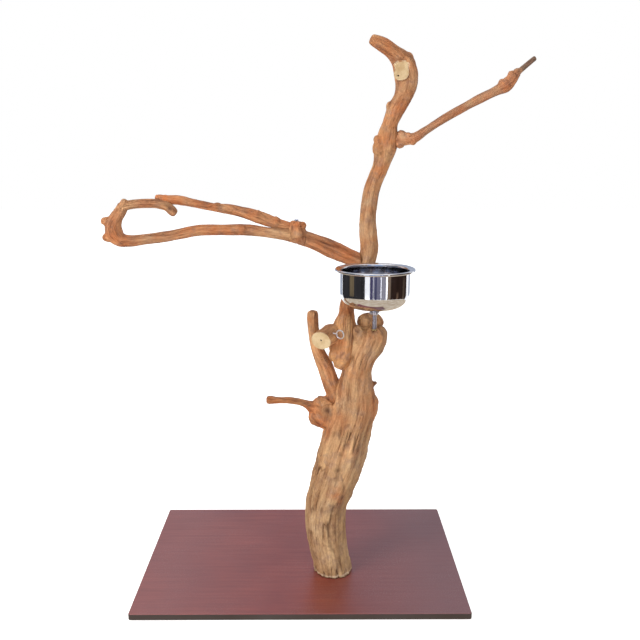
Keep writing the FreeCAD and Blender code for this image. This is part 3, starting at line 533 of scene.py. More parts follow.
# a flat saw cut across whatever lies within reach of its middle; the new face gets the sawn material
def sawAcross(mesh, centre, way, reach=None):
    centre, way = Vector(centre), Vector(way).normalized()
    if reach is None:
        geometry = list(mesh.verts) + list(mesh.edges) + list(mesh.faces)
    else:
        faces = [f for f in mesh.faces if (f.calc_center_median() - centre).length < reach]
        # dictionaries keep their order, so each run cuts in the same order; sets don't
        corners = dict.fromkeys(v for f in faces for v in f.verts)
        edges = dict.fromkeys(e for f in faces for e in f.edges)
        geometry = [*corners, *edges, *faces]
    made = bmesh.ops.bisect_plane(
        mesh, geom=geometry, dist=1e-6, plane_co=centre, plane_no=way, clear_outer=True)
    rim = [e for e in made["geom_cut"] if isinstance(e, bmesh.types.BMEdge) and e.is_valid and e.is_boundary]
    filled = bmesh.ops.holes_fill(mesh, edges=rim, sides=0)["faces"]
    for face in bmesh.ops.poke(mesh, faces=filled)["faces"]:
        face.material_index = 1
        face.smooth = False


# a flat facet on the side of a branch, where a small limb was trimmed away
def pressFlat(mesh, centre, way, reach):
    centre, way = Vector(centre), Vector(way).normalized()
    for v in mesh.verts:
        offset = v.co - centre
        if offset.length < reach and offset.dot(way) > 0:
            v.co -= way * offset.dot(way)
    for face in mesh.faces:
        offsets = [v.co - centre for v in face.verts]
        if all(abs(offset.dot(way)) < 1e-5 and offset.length < reach for offset in offsets):
            face.material_index = 1
            face.smooth = False


def joinBranches(name, look):
    mesh = bmesh.new()
    spines = []
    for number, branch in enumerate(look["branches"]):
        spine = followStations(branch["stations"], facing=branch.get("facing", (0, -1, 0)))
        spine["tone"] = branch.get("tone", (0, 0))
        spine["start"] = 0.0
        if spines:
            main = spines[branch.get("from", 0)]
            near = np.linalg.norm(main["point"] - spine["point"][0], axis=1).argmin()
            spine["start"] = main["start"] + main["run"][near]
        lobes, ends = branch.get("lobes", look["lobes"]), branch.get("ends", (0.4, 0.4))
        addTube(mesh, spine, lobes, look["seed"] + number * 3.7, ends)
        spines.append(spine)
    for centre, radii in look["burls"]:
        addBurl(mesh, centre, radii)
    piece = meshObject(name, mesh)
    remesh = piece.modifiers.new("merge", "REMESH")
    remesh.mode = "VOXEL"
    remesh.voxel_size = look["voxel"]
    soften = piece.modifiers.new("soften", "SMOOTH")
    soften.factor = 0.5
    soften.iterations = look["soften"]
    settle(piece)
    return piece, spines


def sawBranch(piece, look):
    mesh = bmesh.new()
    mesh.from_mesh(piece.data)
    for face in mesh.faces:
        face.smooth = True
        face.material_index = 0
    for centre, way, reach, _ in look["saws"]:
        sawAcross(mesh, centre, way, reach)
    for centre, way, reach, _ in look["pressed"]:
        pressFlat(mesh, centre, way, reach)
    loose = [v for v in mesh.verts if not v.link_faces]
    bmesh.ops.delete(mesh, geom=loose, context="VERTS")
    mesh.to_mesh(piece.data)
    mesh.free()


# what the wood and sawn materials read: grain, tone, sawn faces, and the listed marks
def markBranch(piece, spines, look):
    data = piece.data
    spots = readPoints(data, "co")
    grain, _, tone = readGrain(spots, spines)
    pale = np.zeros(len(spots))
    sawFace = np.full((len(spots), 3), 0.05)
    footShadow = np.zeros(len(spots))
    foot = look.get("foot")
    for centre, way, reach, pith in look["saws"] + look["pressed"]:
        offset = spots - np.array(centre)
        away = np.linalg.norm(offset, axis=1)
        plane = np.array(Vector(way).normalized())
        across = np.cross(plane, (0, 0, 1)) if abs(plane[2]) < 0.9 else np.array((1.0, 0, 0))
        across /= np.linalg.norm(across)
        raised = np.cross(across, plane)
        flat = (np.abs(offset @ plane) < 2e-4) & (away < (reach or 1.0))
        sawFace[flat, 0] = (offset @ across)[flat] - pith[0]
        sawFace[flat, 1] = (offset @ raised)[flat] - pith[1]
        sawFace[flat, 2] = 0
        depth = -(offset @ plane)
        if reach is not None:
            close = np.clip(1 - depth / look["paleDepth"], 0, 1) * (depth > -1e-4) * (away < reach)
        elif foot:
            close = np.exp(-((depth - foot["band"]) / foot["bandHalf"]) ** 2)
            # painted contact shadow: a dark line along the bottom of the foot where it meets the board
            footShadow = np.clip(1.4 - depth / foot["line"], 0, 1)
        else:
            continue
        ragged = np.clip(noiseAt(spots * 360) * 2.2 + 0.7, 0, 1)
        pale = np.maximum(pale, close**1.5 * ragged)
    storePoints(data, "grain", grain)
    storePoints(data, "tone", np.clip(tone, 0, 1))
    storePoints(data, "pale", pale)
    storePoints(data, "sawFace", sawFace)
    cloud = np.clip(0.75 + 0.8 * noiseAt(spots * 75), 0.1, 1.2)
    # dark spots: most are painted shade in creases and joins, a few are dark marks of the wood
    for kind in ("warmth", "shadeAndDarkSpots", "ash"):
        amount = footShadow if kind == "shadeAndDarkSpots" else np.zeros(len(spots))
        for centre, radius, strength in look[kind]:
            away = np.linalg.norm(spots - np.array(centre), axis=1)
            amount = np.maximum(amount, strength * np.exp(-(away / radius) ** 2) * cloud)
        storePoints(data, kind, np.clip(amount, 0, 1))


def buildBranch(name, look, woodMaterial, node):
    piece, spines = joinBranches(name, look)
    weather(piece, spines, look)
    sawBranch(piece, look)
    markBranch(piece, spines, look)
    piece.data.materials.append(woodMaterial)
    piece.data.materials.append(sawnFace)
    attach(piece, "stand")
    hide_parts(node)
    print(name, "built with", len(piece.data.polygons), "faces")


# every branch shares these, and each piece changes what it needs
woodShades = {
    "body": paint(206, 146, 98),
    "warm": paint(222, 128, 64),
    "other": paint(200, 160, 124),
    "orange": paint(230, 124, 52),
    "ash": paint(224, 190, 148),
    "mauve": paint(166, 122, 104),
    "mauveShare": 0.55,
    "cream": paint(242, 198, 142),
    "creamShare": 0.5,
    "light": paint(132, 106, 80),
    "lightShare": 0.6,
    "dark": paint(146, 106, 80),
    "darkShare": 0.72,
    "deep": paint(84, 48, 30),
    "splitShare": 0.4,
    "fleckShare": 0.2,
    "gritShare": 0.3,
    "hollowShadeShare": 0.8,
    "sawn": paint(234, 210, 178),
    "width": 95.0,
    "stretch": 0.14,
    "wander": 0.9,
    "patch": 24.0,
    "rough": 0.6,
    "bump": 0.9,
}
relief = {
    "voxel": 0.0014,
    "soften": 5,
    "lobes": 0.1,
    "seed": 1.3,
    "ridge": 0.0019,
    "ridgeTurns": 1.9,
    "ridgeRate": 7.0,
    "fibre": 0.0004,
    "cut": 0.0016,
    "cutWidth": 0.1,
    "cutCover": 0.1,
    "cutShade": 0.9,
    "lump": 0.0014,
    "lumpRate": 38.0,
    "knob": 0.0016,
    "pit": 0.00018,
    "inset": 0.0002,
    "paleDepth": 0.0022,
    "fullRadius": 0.03,
    "coverRate": 22,
    "pitRate": 190,
    "creases": [],
    "saws": [],
    "pressed": [],
    "warmth": [],
    "shadeAndDarkSpots": [],
    "ash": [],
}
sawnLook = {
    "rings": 2700.0,
    "pith": 0.0019,
    "cream": paint(214, 190, 150),
    "tan": paint(196, 166, 124),
    "stain": paint(176, 140, 94),
    "dark": paint(120, 82, 52),
    "core": paint(58, 38, 26),
}
sawnFace = sawnWood("sawnFace", sawnLook)

trunk = dict(relief)
trunk.update({
    "seed": 2.1,
    "voxel": 0.0016,
    "lobes": 0.16,
    "ridge": 0.0026,
    "cut": 0.0026,
    "cutCover": 0.35,
    "fibre": 0.00055,
    # the foot's band is its pale splintery rim; its line sets the painted contact shadow
    "foot": {"level": 0.0145, "height": 0.007, "chip": 0.0038, "flare": 0.0006,
             "band": 0.0042, "bandHalf": 0.0024, "line": 0.0024},
    "branches": [
        {"facing": (1, 0, 0), "ends": (0.0, 0.3), "tone": (1.0, 0.25), "stations": [
            (0.061, -0.056, 0.008, 0.035, 0.0322), (0.06, -0.056, 0.0145, 0.035, 0.0322),
            (0.051, -0.056, 0.062, 0.035, 0.0322), (0.046, -0.056, 0.113, 0.0382, 0.0343),
            (0.048, -0.056, 0.154, 0.0416, 0.0367), (0.057, -0.056, 0.187, 0.0427, 0.0385),
            (0.072, -0.056, 0.235, 0.0437, 0.0392), (0.081, -0.056, 0.276, 0.0416, 0.0392),
            (0.091, -0.056, 0.315, 0.0409, 0.0392), (0.099, -0.056, 0.35, 0.0413, 0.0385),
            (0.1, -0.056, 0.382, 0.0343, 0.0378), (0.103, -0.056, 0.413, 0.028, 0.0371),
            (0.11, -0.056, 0.442, 0.0287, 0.0378), (0.121, -0.056, 0.466, 0.0326, 0.0371),
            (0.126, -0.056, 0.482, 0.0326, 0.035), (0.126, -0.056, 0.4945, 0.028, 0.0301)]},
        {"tone": (0.0, 0.1), "lobes": 0.06, "stations": [
            (0.066, -0.055, 0.357, 0.0156), (0.056, -0.051, 0.384, 0.015), (0.044, -0.047, 0.419, 0.0141),
            (0.031, -0.044, 0.449, 0.0114), (0.024, -0.042, 0.482, 0.01), (0.022, -0.042, 0.51, 0.0102),
            (0.022, -0.042, 0.522, 0.0092)], "ends": (0.3, 0.7)},
        {"tone": (0.0, 0.0), "lobes": 0.08, "stations": [
            (0.044, -0.056, 0.327, 0.0168), (0.023, -0.061, 0.344, 0.0123), (0.009, -0.065, 0.353, 0.0074),
            (-0.017, -0.07, 0.361, 0.0067), (-0.044, -0.074, 0.363, 0.0066), (-0.056, -0.075, 0.364, 0.008),
            (-0.062, -0.075, 0.364, 0.0072)], "ends": (0.3, 0.5)},
        {"lobes": 0.0, "tone": (0.0, 0.0), "ends": (0.2, 0.3), "stations": [
            (0.12, -0.0535, 0.376, 0.0078), (0.13, -0.0545, 0.3845, 0.0046), (0.138, -0.055, 0.3915, 0.0032)]},
    ],
    "burls": [((0.042, -0.059, 0.3345), (0.027, 0.022, 0.031)),
              ((0.126, -0.039, 0.4985), (0.0236, 0.0176, 0.0186)),
              ((0.026, -0.062, 0.326), (0.013, 0.015, 0.014)),
              ((0.107, -0.058, 0.233), (0.009, 0.013, 0.011)),
              ((0.098, -0.072, 0.458), (0.017, 0.017, 0.03)),
              ((0.124, -0.062, 0.346), (0.016, 0.022, 0.03)),
              ((0.141, -0.062, 0.482), (0.014, 0.02, 0.016)),
              ((0.101, -0.068, 0.48), (0.015, 0.016, 0.02))],
    "saws": [((0.06, -0.056, 0.0147), (0, 0, -1), None, (0.004, 0.002))],
    "warmth": [((0.0389, -0.074, 0.3097), 0.02, 1), ((0.0226, -0.066, 0.3298), 0.016, 0.91),
               ((0.066, -0.093, 0.189), 0.013, 1), ((0.0756, -0.092, 0.171), 0.012, 0.78),
               ((0.133, -0.072, 0.353), 0.024, 0.98), ((0.06, -0.09, 0.375), 0.018, 0.65),
               ((0.0776, -0.07, 0.33), 0.02, 0.59), ((0.046, -0.05, 0.41), 0.02, 0.65),
               ((0.088, -0.09, 0.27), 0.018, 0.39), ((0.135, -0.06, 0.31), 0.02, 0.65),
               ((-0.05, -0.075, 0.363), 0.016, 0.52)],
    # dark spots, mostly painted shade in creases and joins
    "shadeAndDarkSpots": [((0.0487, -0.082, 0.345), 0.01, 0.69), ((0.0693, -0.096, 0.295), 0.006, 0.75),
             ((0.0712, -0.096, 0.2645), 0.006, 0.69), ((0.0678, -0.095, 0.237), 0.007, 0.62),
             ((0.137, -0.055, 0.3905), 0.007, 1), ((0.0685, -0.087, 0.055), 0.006, 0.75),
             ((0.124, -0.056, 0.425), 0.008, 0.44), ((0.06, -0.092, 0.085), 0.005, 0.62)],
    "ash": [((0.0298, -0.084, 0.113), 0.026, 0.96), ((0.035, -0.085, 0.06), 0.026, 0.84),
            ((0.075, -0.092, 0.36), 0.014, 0.96), ((0.05, -0.092, 0.16), 0.018, 0.72),
            ((0.1, -0.09, 0.25), 0.018, 0.6), ((0.06, -0.09, 0.21), 0.014, 0.6),
            ((0.022, -0.07, 0.15), 0.018, 0.6), ((0.115, -0.09, 0.45), 0.014, 0.42)],
})
trunk["creases"] = [
    ([(0.071, -0.088, 0.016), (0.068, -0.09, 0.05), (0.056, -0.09, 0.085), (0.052, -0.092, 0.12),
      (0.062, -0.094, 0.16)], 0.003, 0.0036, 0.9),
    ([(0.075, -0.091, 0.17), (0.081, -0.092, 0.195), (0.075, -0.094, 0.225)], 0.0024, 0.0022, 0.7),
    ([(0.026, -0.078, 0.018), (0.02, -0.08, 0.06), (0.018, -0.08, 0.1), (0.014, -0.08, 0.135)],
      0.0024, 0.0024, 0.7),
    ([(0.036, -0.09, 0.105), (0.032, -0.092, 0.13), (0.038, -0.093, 0.158)], 0.0018, 0.0018, 0.7),
    ([(0.063, -0.096, 0.205), (0.07, -0.097, 0.232), (0.072, -0.097, 0.258), (0.07, -0.097, 0.275)],
      0.0034, 0.0018, 0.55),
    ([(0.121, -0.088, 0.3), (0.124, -0.086, 0.335), (0.122, -0.084, 0.37)], 0.003, 0.0018, 0.3),
    ([(0.092, -0.092, 0.48), (0.094, -0.093, 0.45), (0.088, -0.092, 0.42), (0.084, -0.092, 0.395)],
      0.0028, 0.0024, 0.45),
    ([(0.112, -0.094, 0.48), (0.108, -0.095, 0.445), (0.106, -0.094, 0.41), (0.104, -0.094, 0.38)],
      0.004, 0.002, 0.25),
    ([(0.06, -0.086, 0.3), (0.072, -0.093, 0.315), (0.086, -0.095, 0.322)], 0.0028, 0.0016, 0.4),
    ([(0.064, -0.083, 0.358), (0.072, -0.09, 0.345), (0.078, -0.094, 0.325), (0.078, -0.096, 0.3)],
      0.0024, 0.0014, 0.4),
    ([(0.046, -0.092, 0.03), (0.04, -0.092, 0.07), (0.038, -0.091, 0.095)], 0.0016, 0.0014, 0.5),
]
trunkShades = dict(woodShades)
trunkShades.update({
    "body": paint(210, 152, 102),
    "warm": paint(222, 136, 72),
    "other": paint(216, 178, 128),
    "mauve": paint(164, 130, 112),
    "fleckShare": 0.26,
    "width": 88.0,
    "patch": 20.0,
})
trunkWood = branchWood("trunkWood", trunkShades)
buildBranch("trunkWood", trunk, trunkWood, "trunk")

tallLimb = dict(relief)
stubWay = Vector((-0.5097, -0.8545, -0.0999))
stubRoot = Vector((0.062, -0.057, 0.4845))
scarWay = Vector((-0.45, -0.88, 0.1)).normalized()
scarRoot = Vector((0.184, 0.0, 0.9305))


def sawnStump(root, way, length, radius, flare):
    rows = []
    for share, thick in ((0.0, flare), (0.45, (1 + flare) / 2 * 0.97), (1.0, 1.0), (1.12, 1.0)):
        rows.append((*(root + way * length * share), radius * thick))
    return rows


tallLimb.update({
    "seed": 5.2,
    "lobes": 0.12,
    "branches": [
        {"tone": (0.55, 0.0), "stations": [
            (0.07, -0.066, 0.419, 0.0075), (0.072, -0.066, 0.425, 0.0132), (0.076, -0.067, 0.44, 0.0204),
            (0.077, -0.067, 0.458, 0.025), (0.079, -0.064, 0.475, 0.025), (0.08, -0.056, 0.494, 0.022),
            (0.083, -0.041, 0.511, 0.0158), (0.086, -0.019, 0.531, 0.0146), (0.098, 0.000, 0.551, 0.0152),
            (0.109, 0.013, 0.575, 0.0168), (0.121, 0.019, 0.601, 0.0168), (0.126, 0.02, 0.621, 0.0168),
            (0.124, 0.02, 0.654, 0.0166), (0.124, 0.02, 0.694, 0.015), (0.131, 0.02, 0.737, 0.0144),
            (0.146, 0.019, 0.777, 0.0154), (0.153, 0.017, 0.809, 0.0204), (0.157, 0.014, 0.831, 0.0172),
            (0.16, 0.012, 0.847, 0.0136), (0.168, 0.009, 0.869, 0.015), (0.182, 0.006, 0.895, 0.0162),
            (0.187, 0.002, 0.921, 0.0206), (0.18, -0.004, 0.948, 0.0198), (0.161, -0.01, 0.967, 0.0138),
            (0.142, -0.014, 0.979, 0.0124), (0.127, -0.018, 0.9852, 0.0099), (0.121, -0.02, 0.988, 0.0076)],
            "ends": (0.5, 0.5)},
        {"tone": (0.6, 0.5), "lobes": 0.05, "ends": (0.2, 0.0), "facing": (0, 0, 1),
         "stations": [(*row, row[3] * 1.26) for row in sawnStump(stubRoot, stubWay, 0.05, 0.0153, 1.2)]},
        {"tone": (0.0, 0.2), "lobes": 0.08, "ends": (0.2, 0.0),
         "stations": sawnStump(scarRoot, scarWay, 0.023, 0.0138, 1.2)},
    ],
    "burls": [((0.141, 0.008, 0.8055), (0.012, 0.012, 0.015)),
              ((0.1375, 0.008, 0.821), (0.007, 0.008, 0.008)),
              ((0.185, -0.004, 0.9555), (0.0125, 0.013, 0.0125)),
              ((0.165, 0.01, 0.832), (0.009, 0.012, 0.011)),
              ((0.163, -0.01, 0.961), (0.01, 0.011, 0.011)),
              ((0.1585, 0.01, 0.877), (0.0065, 0.009, 0.01)),
              ((0.062, -0.074, 0.447), (0.012, 0.014, 0.013))],
    "saws": [(tuple(stubRoot + stubWay * 0.05), tuple(stubWay), 0.027, (-0.0006, 0.0006))],
    "pressed": [(tuple(scarRoot + scarWay * 0.0205), tuple(scarWay), 0.0205, (0.0052, -0.0052))],
    "warmth": [((0.07, -0.085, 0.47), 0.02, 0.78), ((0.083, -0.041, 0.515), 0.022, 0.91),
               ((0.118, 0.0, 0.7), 0.012, 0.52), ((0.142, 0.0, 0.765), 0.018, 0.72),
               ((0.16, 0.0, 0.87), 0.02, 0.65), ((0.145, -0.02, 0.985), 0.02, 0.65),
               ((0.19, -0.01, 0.945), 0.016, 0.65), ((0.148, 0.0, 0.82), 0.012, 0.52)],
    "shadeAndDarkSpots": [((0.0614, -0.092, 0.4608), 0.006, 0.75), ((0.172, 0.004, 0.838), 0.005, 1),
             ((0.173, 0.004, 0.808), 0.005, 0.88), ((0.1296, 0.004, 0.8236), 0.006, 0.38),
             ((0.2, -0.005, 0.955), 0.005, 0.5)],
    "ash": [((0.115, 0.004, 0.66), 0.03, 0.6), ((0.116, 0.004, 0.71), 0.028, 0.7),
            ((0.12, 0.004, 0.62), 0.02, 0.48), ((0.16, -0.006, 0.9), 0.016, 0.48)],
})
tallLimb["creases"] = [
    ([(0.05, -0.086, 0.47), (0.058, -0.09, 0.462), (0.066, -0.092, 0.466), (0.071, -0.092, 0.474)],
      0.0022, 0.002, 0.7),
    ([(0.062, -0.09, 0.452), (0.07, -0.092, 0.448), (0.078, -0.092, 0.455)], 0.002, 0.0016, 0.6),
    ([(0.128, 0.002, 0.64), (0.122, 0.003, 0.69), (0.126, 0.004, 0.74)], 0.0022, 0.0016, 0.45),
    ([(0.171, -0.001, 0.84), (0.1725, 0.000, 0.824), (0.172, 0.003, 0.806)], 0.0016, 0.0026, 1.0),
    ([(0.205, -0.01, 0.962), (0.192, -0.02, 0.958), (0.18, -0.024, 0.962)], 0.002, 0.002, 0.4),
    ([(0.146, 0.002, 0.86), (0.15, 0.000, 0.842), (0.148, -0.002, 0.82)], 0.002, 0.0012, 0.4),
]
limbShades = dict(woodShades)
limbShades.update({
    "body": paint(210, 150, 102),
    "warm": paint(222, 132, 68),
    "other": paint(234, 174, 106),
    "mauve": paint(176, 132, 112),
    "width": 85.0,
})
limbWood = branchWood("limbWood", limbShades)
buildBranch("tallLimbWood", tallLimb, limbWood, "tall_limb")

rightPerch = dict(relief)
rightPerch.update({
    "seed": 8.4,
    "voxel": 0.0011,
    "soften": 8,
    "ridge": 0.0022,
    "lump": 0.0016,
    "pit": 0.0001,
    "branches": [
        {"tone": (0.0, 0.0), "stations": [
            (0.164, 0.014, 0.8185, 0.0122), (0.17, 0.014, 0.819, 0.0122), (0.186, 0.013, 0.821, 0.0113),
            (0.202, 0.012, 0.823, 0.0096), (0.223, 0.013, 0.836, 0.0074), (0.246, 0.014, 0.851, 0.0073),
            (0.266, 0.015, 0.863, 0.0076), (0.295, 0.017, 0.879, 0.0075), (0.322, 0.019, 0.893, 0.0084),
            (0.349, 0.021, 0.906, 0.0088), (0.365, 0.022, 0.915, 0.0122), (0.374, 0.023, 0.925, 0.0105),
            (0.383, 0.024, 0.935, 0.0079), (0.387, 0.024, 0.938, 0.0064)], "ends": (0.0, 0.3)},
        {"tone": (1.0, 1.0), "lobes": 0.0, "ends": (0.3, 0.4), "stations": [
            (0.38, 0.024, 0.932, 0.005), (0.4, 0.026, 0.949, 0.0048), (0.4165, 0.028, 0.9625, 0.0046)]},
    ],
    "burls": [((0.18, 0.01, 0.829), (0.009, 0.01, 0.009)),
              ((0.178, 0.008, 0.813), (0.008, 0.009, 0.008)),
              ((0.192, 0.009, 0.828), (0.007, 0.008, 0.006)),
              ((0.201, 0.01, 0.8165), (0.007, 0.008, 0.006)),
              ((0.3635, 0.02, 0.9155), (0.0105, 0.01, 0.0105)),
              ((0.3745, 0.022, 0.93), (0.0085, 0.009, 0.01)),
              ((0.3575, 0.02, 0.9195), (0.007, 0.007, 0.006)),
              ((0.384, 0.024, 0.9385), (0.006, 0.006, 0.006))],
    "warmth": [((0.363, 0.012, 0.915), 0.012, 0.65), ((0.25, 0.008, 0.852), 0.02, 0.39),
               ((0.2, 0.006, 0.822), 0.016, 0.39)],
    "shadeAndDarkSpots": [((0.173, 0.004, 0.821), 0.004, 1), ((0.366, 0.012, 0.905), 0.005, 0.5)],
    "saws": [((0.1702, 0.014, 0.819), (-1, 0, 0), None, (0, 0))],
    "creases": [
        ([(0.361, 0.013, 0.927), (0.368, 0.011, 0.918), (0.374, 0.013, 0.91)], 0.0016, 0.0016, 0.6),
        ([(0.376, 0.015, 0.937), (0.384, 0.015, 0.93)], 0.0014, 0.0012, 0.6),
        ([(0.196, 0.002, 0.834), (0.204, 0.002, 0.829), (0.214, 0.004, 0.832)], 0.0016, 0.0014, 0.5),
    ],
})
rightShades = dict(woodShades)
rightShades.update({
    "body": paint(196, 140, 100),
    "warm": paint(210, 126, 76),
    "other": paint(124, 100, 86),
    "width": 100.0,
    "bump": 0.45,
    "gritShare": 0.2,
})
rightWood = branchWood("rightPerchWood", rightShades)
buildBranch("rightPerchWood", rightPerch, rightWood, "right_perch")

leftPerch = dict(relief)
leftPerch.update({
    "seed": 11.8,
    "voxel": 0.0012,
    "soften": 4,
    "ridge": 0.0028,
    "lump": 0.0018,
    "branches": [
        {"tone": (0.3, 0.1), "stations": [
            (0.118, 0.0145, 0.599, 0.0146), (0.11, 0.014, 0.602, 0.0146), (0.09, 0.012, 0.61, 0.015),
            (0.066, 0.01, 0.621, 0.016), (0.036, 0.005, 0.635, 0.0145), (0.009, 0.001, 0.646, 0.0134),
            (-0.021, -0.002, 0.653, 0.0126), (-0.056, -0.006, 0.657, 0.0101), (-0.09, -0.01, 0.662, 0.011),
            (-0.138, -0.014, 0.663, 0.0101), (-0.186, -0.018, 0.662, 0.0104), (-0.227, -0.022, 0.654, 0.0097),
            (-0.272, -0.026, 0.648, 0.0092), (-0.305, -0.028, 0.645, 0.0103), (-0.321, -0.029, 0.647, 0.0118),
            (-0.333, -0.029, 0.651, 0.0084)], "ends": (0.0, 0.4)},
        {"tone": (0.1, 0.3), "stations": [
            (-0.314, -0.029, 0.642, 0.0102), (-0.328, -0.029, 0.655, 0.015), (-0.331, -0.029, 0.671, 0.0146),
            (-0.325, -0.029, 0.686, 0.012), (-0.316, -0.028, 0.699, 0.0101), (-0.312, -0.028, 0.711, 0.0088)]},
        {"tone": (0.3, 0.4), "from": 1, "stations": [
            (-0.319, -0.028, 0.704, 0.0089), (-0.299, -0.028, 0.709, 0.0088), (-0.271, -0.026, 0.711, 0.0086),
            (-0.25, -0.025, 0.71, 0.0085), (-0.234, -0.025, 0.705, 0.0081), (-0.223, -0.025, 0.695, 0.0076),
            (-0.219, -0.025, 0.692, 0.0056)]},
        {"tone": (0.0, 0.0), "ends": (0.2, 0.5), "stations": [
            (-0.006, -0.001, 0.647, 0.0187), (-0.007, -0.001, 0.661, 0.0168), (-0.007, -0.001, 0.668, 0.0152),
            (-0.007, -0.001, 0.6785, 0.0134)]},
    ],
    "burls": [((-0.342, -0.03, 0.68), (0.0105, 0.0105, 0.0085)),
              ((-0.34, -0.03, 0.6515), (0.011, 0.0105, 0.0085)),
              ((-0.309, -0.029, 0.713), (0.0075, 0.008, 0.0065)),
              ((-0.333, -0.03, 0.652), (0.01, 0.01, 0.009)),
              ((-0.1016, -0.014, 0.664), (0.009, 0.0105, 0.009)),
              ((-0.0135, -0.004, 0.672), (0.007, 0.008, 0.008)),
              ((0.004, -0.004, 0.67), (0.007, 0.008, 0.007)),
              ((0.000, -0.006, 0.655), (0.01, 0.01, 0.011)),
              ((-0.3395, -0.03, 0.681), (0.008, 0.008, 0.008))],
    "warmth": [((0.09, 0.0, 0.615), 0.022, 0.78), ((0.03, -0.008, 0.64), 0.02, 0.52),
               ((-0.007, -0.012, 0.672), 0.013, 0.91), ((-0.33, -0.04, 0.66), 0.022, 0.72),
               ((-0.15, -0.02, 0.66), 0.03, 0.45)],
    "shadeAndDarkSpots": [((-0.229, -0.033, 0.703), 0.004, 0.75), ((0.012, -0.012, 0.668), 0.004, 0.5),
             ((-0.345, -0.036, 0.668), 0.004, 0.5)],
    "ash": [((-0.26, -0.036, 0.655), 0.03, 0.48), ((-0.05, -0.014, 0.662), 0.02, 0.36)],
    "saws": [((0.1098, 0.014, 0.602), (1, 0, 0), None, (0, 0))],
    "creases": [
        ([(-0.238, -0.036, 0.713), (-0.229, -0.035, 0.702), (-0.226, -0.034, 0.694)], 0.0016, 0.0016, 0.7),
        ([(-0.318, -0.042, 0.66), (-0.322, -0.044, 0.672), (-0.33, -0.044, 0.682)], 0.0016, 0.0012, 0.4),
        ([(0.07, -0.004, 0.63), (0.04, -0.008, 0.642), (0.01, -0.012, 0.65)], 0.0018, 0.0012, 0.4),
        ([(-0.02, -0.014, 0.668), (-0.008, -0.016, 0.67), (0.004, -0.014, 0.668)], 0.0016, 0.0012, 0.4),
    ],
})
leftShades = dict(woodShades)
leftShades.update({
    "body": paint(216, 148, 96),
    "warm": paint(230, 132, 68),
    "other": paint(202, 154, 116),
    "mauve": paint(160, 116, 98),
    "width": 120.0,
    "patch": 20.0,
})
leftWood = branchWood("leftPerchWood", leftShades)
buildBranch("leftPerchWood", leftPerch, leftWood, "left_perch")

returnPerch = dict(relief)
returnPerch.update({
    "seed": 14.9,
    "voxel": 0.0011,
    "soften": 4,
    "ridge": 0.003,
    "lump": 0.0022,
    "branches": [
        {"tone": (0.2, 0.0), "stations": [
            (-0.2575, -0.014, 0.7205, 0.005), (-0.249, -0.014, 0.7195, 0.0068), (-0.241, -0.014, 0.717, 0.008),
            (-0.217, -0.012, 0.716, 0.0087), (-0.188, -0.01, 0.71, 0.008), (-0.154, -0.008, 0.703, 0.0076),
            (-0.127, -0.006, 0.699, 0.0092), (-0.1, -0.004, 0.693, 0.0094), (-0.074, -0.003, 0.685, 0.0108),
            (-0.052, -0.002, 0.677, 0.01), (-0.03, -0.001, 0.67, 0.0086), (-0.016, -0.001, 0.667, 0.0076)]},
    ],
    "burls": [((-0.0758, -0.004, 0.6868), (0.01, 0.0112, 0.0105)),
              ((-0.1481, -0.008, 0.7035), (0.009, 0.0092, 0.0086)),
              ((-0.2398, -0.0135, 0.7185), (0.01, 0.008, 0.0072)),
              ((-0.044, -0.003, 0.677), (0.009, 0.01, 0.009))],
    "warmth": [((-0.23, -0.02, 0.716), 0.03, 0.91), ((-0.1, -0.012, 0.694), 0.02, 0.52),
               ((-0.04, -0.01, 0.675), 0.014, 0.65)],
    "shadeAndDarkSpots": [((-0.0758, -0.013, 0.69), 0.003, 0.62), ((-0.02, -0.008, 0.672), 0.004, 0.62)],
    "creases": [
        ([(-0.118, -0.013, 0.704), (-0.108, -0.012, 0.697)], 0.0018, 0.0012, 0.5),
        ([(-0.066, -0.012, 0.69), (-0.058, -0.011, 0.682)], 0.0018, 0.0012, 0.5),
    ],
})
returnWood = branchWood("returnPerchWood", leftShades)
buildBranch("returnPerchWood", returnPerch, returnWood, "return_perch")


# turned metal: a profile of radius and height swept about an upright axis
def turnProfile(name, profile, centre, around=128):
    mesh = bmesh.new()
    rings = []
    for radius, height in profile:
        if radius < 1e-6:
            rings.append([mesh.verts.new((centre[0], centre[1], height))])
            continue
        rings.append(circleVerts(mesh, centre, radius, height, around))
    for low, high in zip(rings[:-1], rings[1:]):
        if len(low) == len(high):
            bridge(mesh, low, high)
            continue
        for k in range(around):
            n = (k + 1) % around
            mesh.faces.new((low[0], high[n], high[k]) if len(low) == 1 else (low[k], low[n], high[0]))
    bmesh.ops.recalc_face_normals(mesh, faces=list(mesh.faces))
    for face in mesh.faces:
        face.smooth = True
    return meshObject(name, mesh)


def arcPoints(cx, cy, radius, start, end, count):
    angles = [math.radians(a) for a in np.linspace(start, end, count)]
    return [(cx + radius * math.cos(a), cy + radius * math.sin(a)) for a in angles]


def dress(piece, material, body, slotName, *replaced):
    piece.data.materials.clear()
    piece.data.materials.append(material)
    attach(piece, body)
    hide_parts(*replaced)


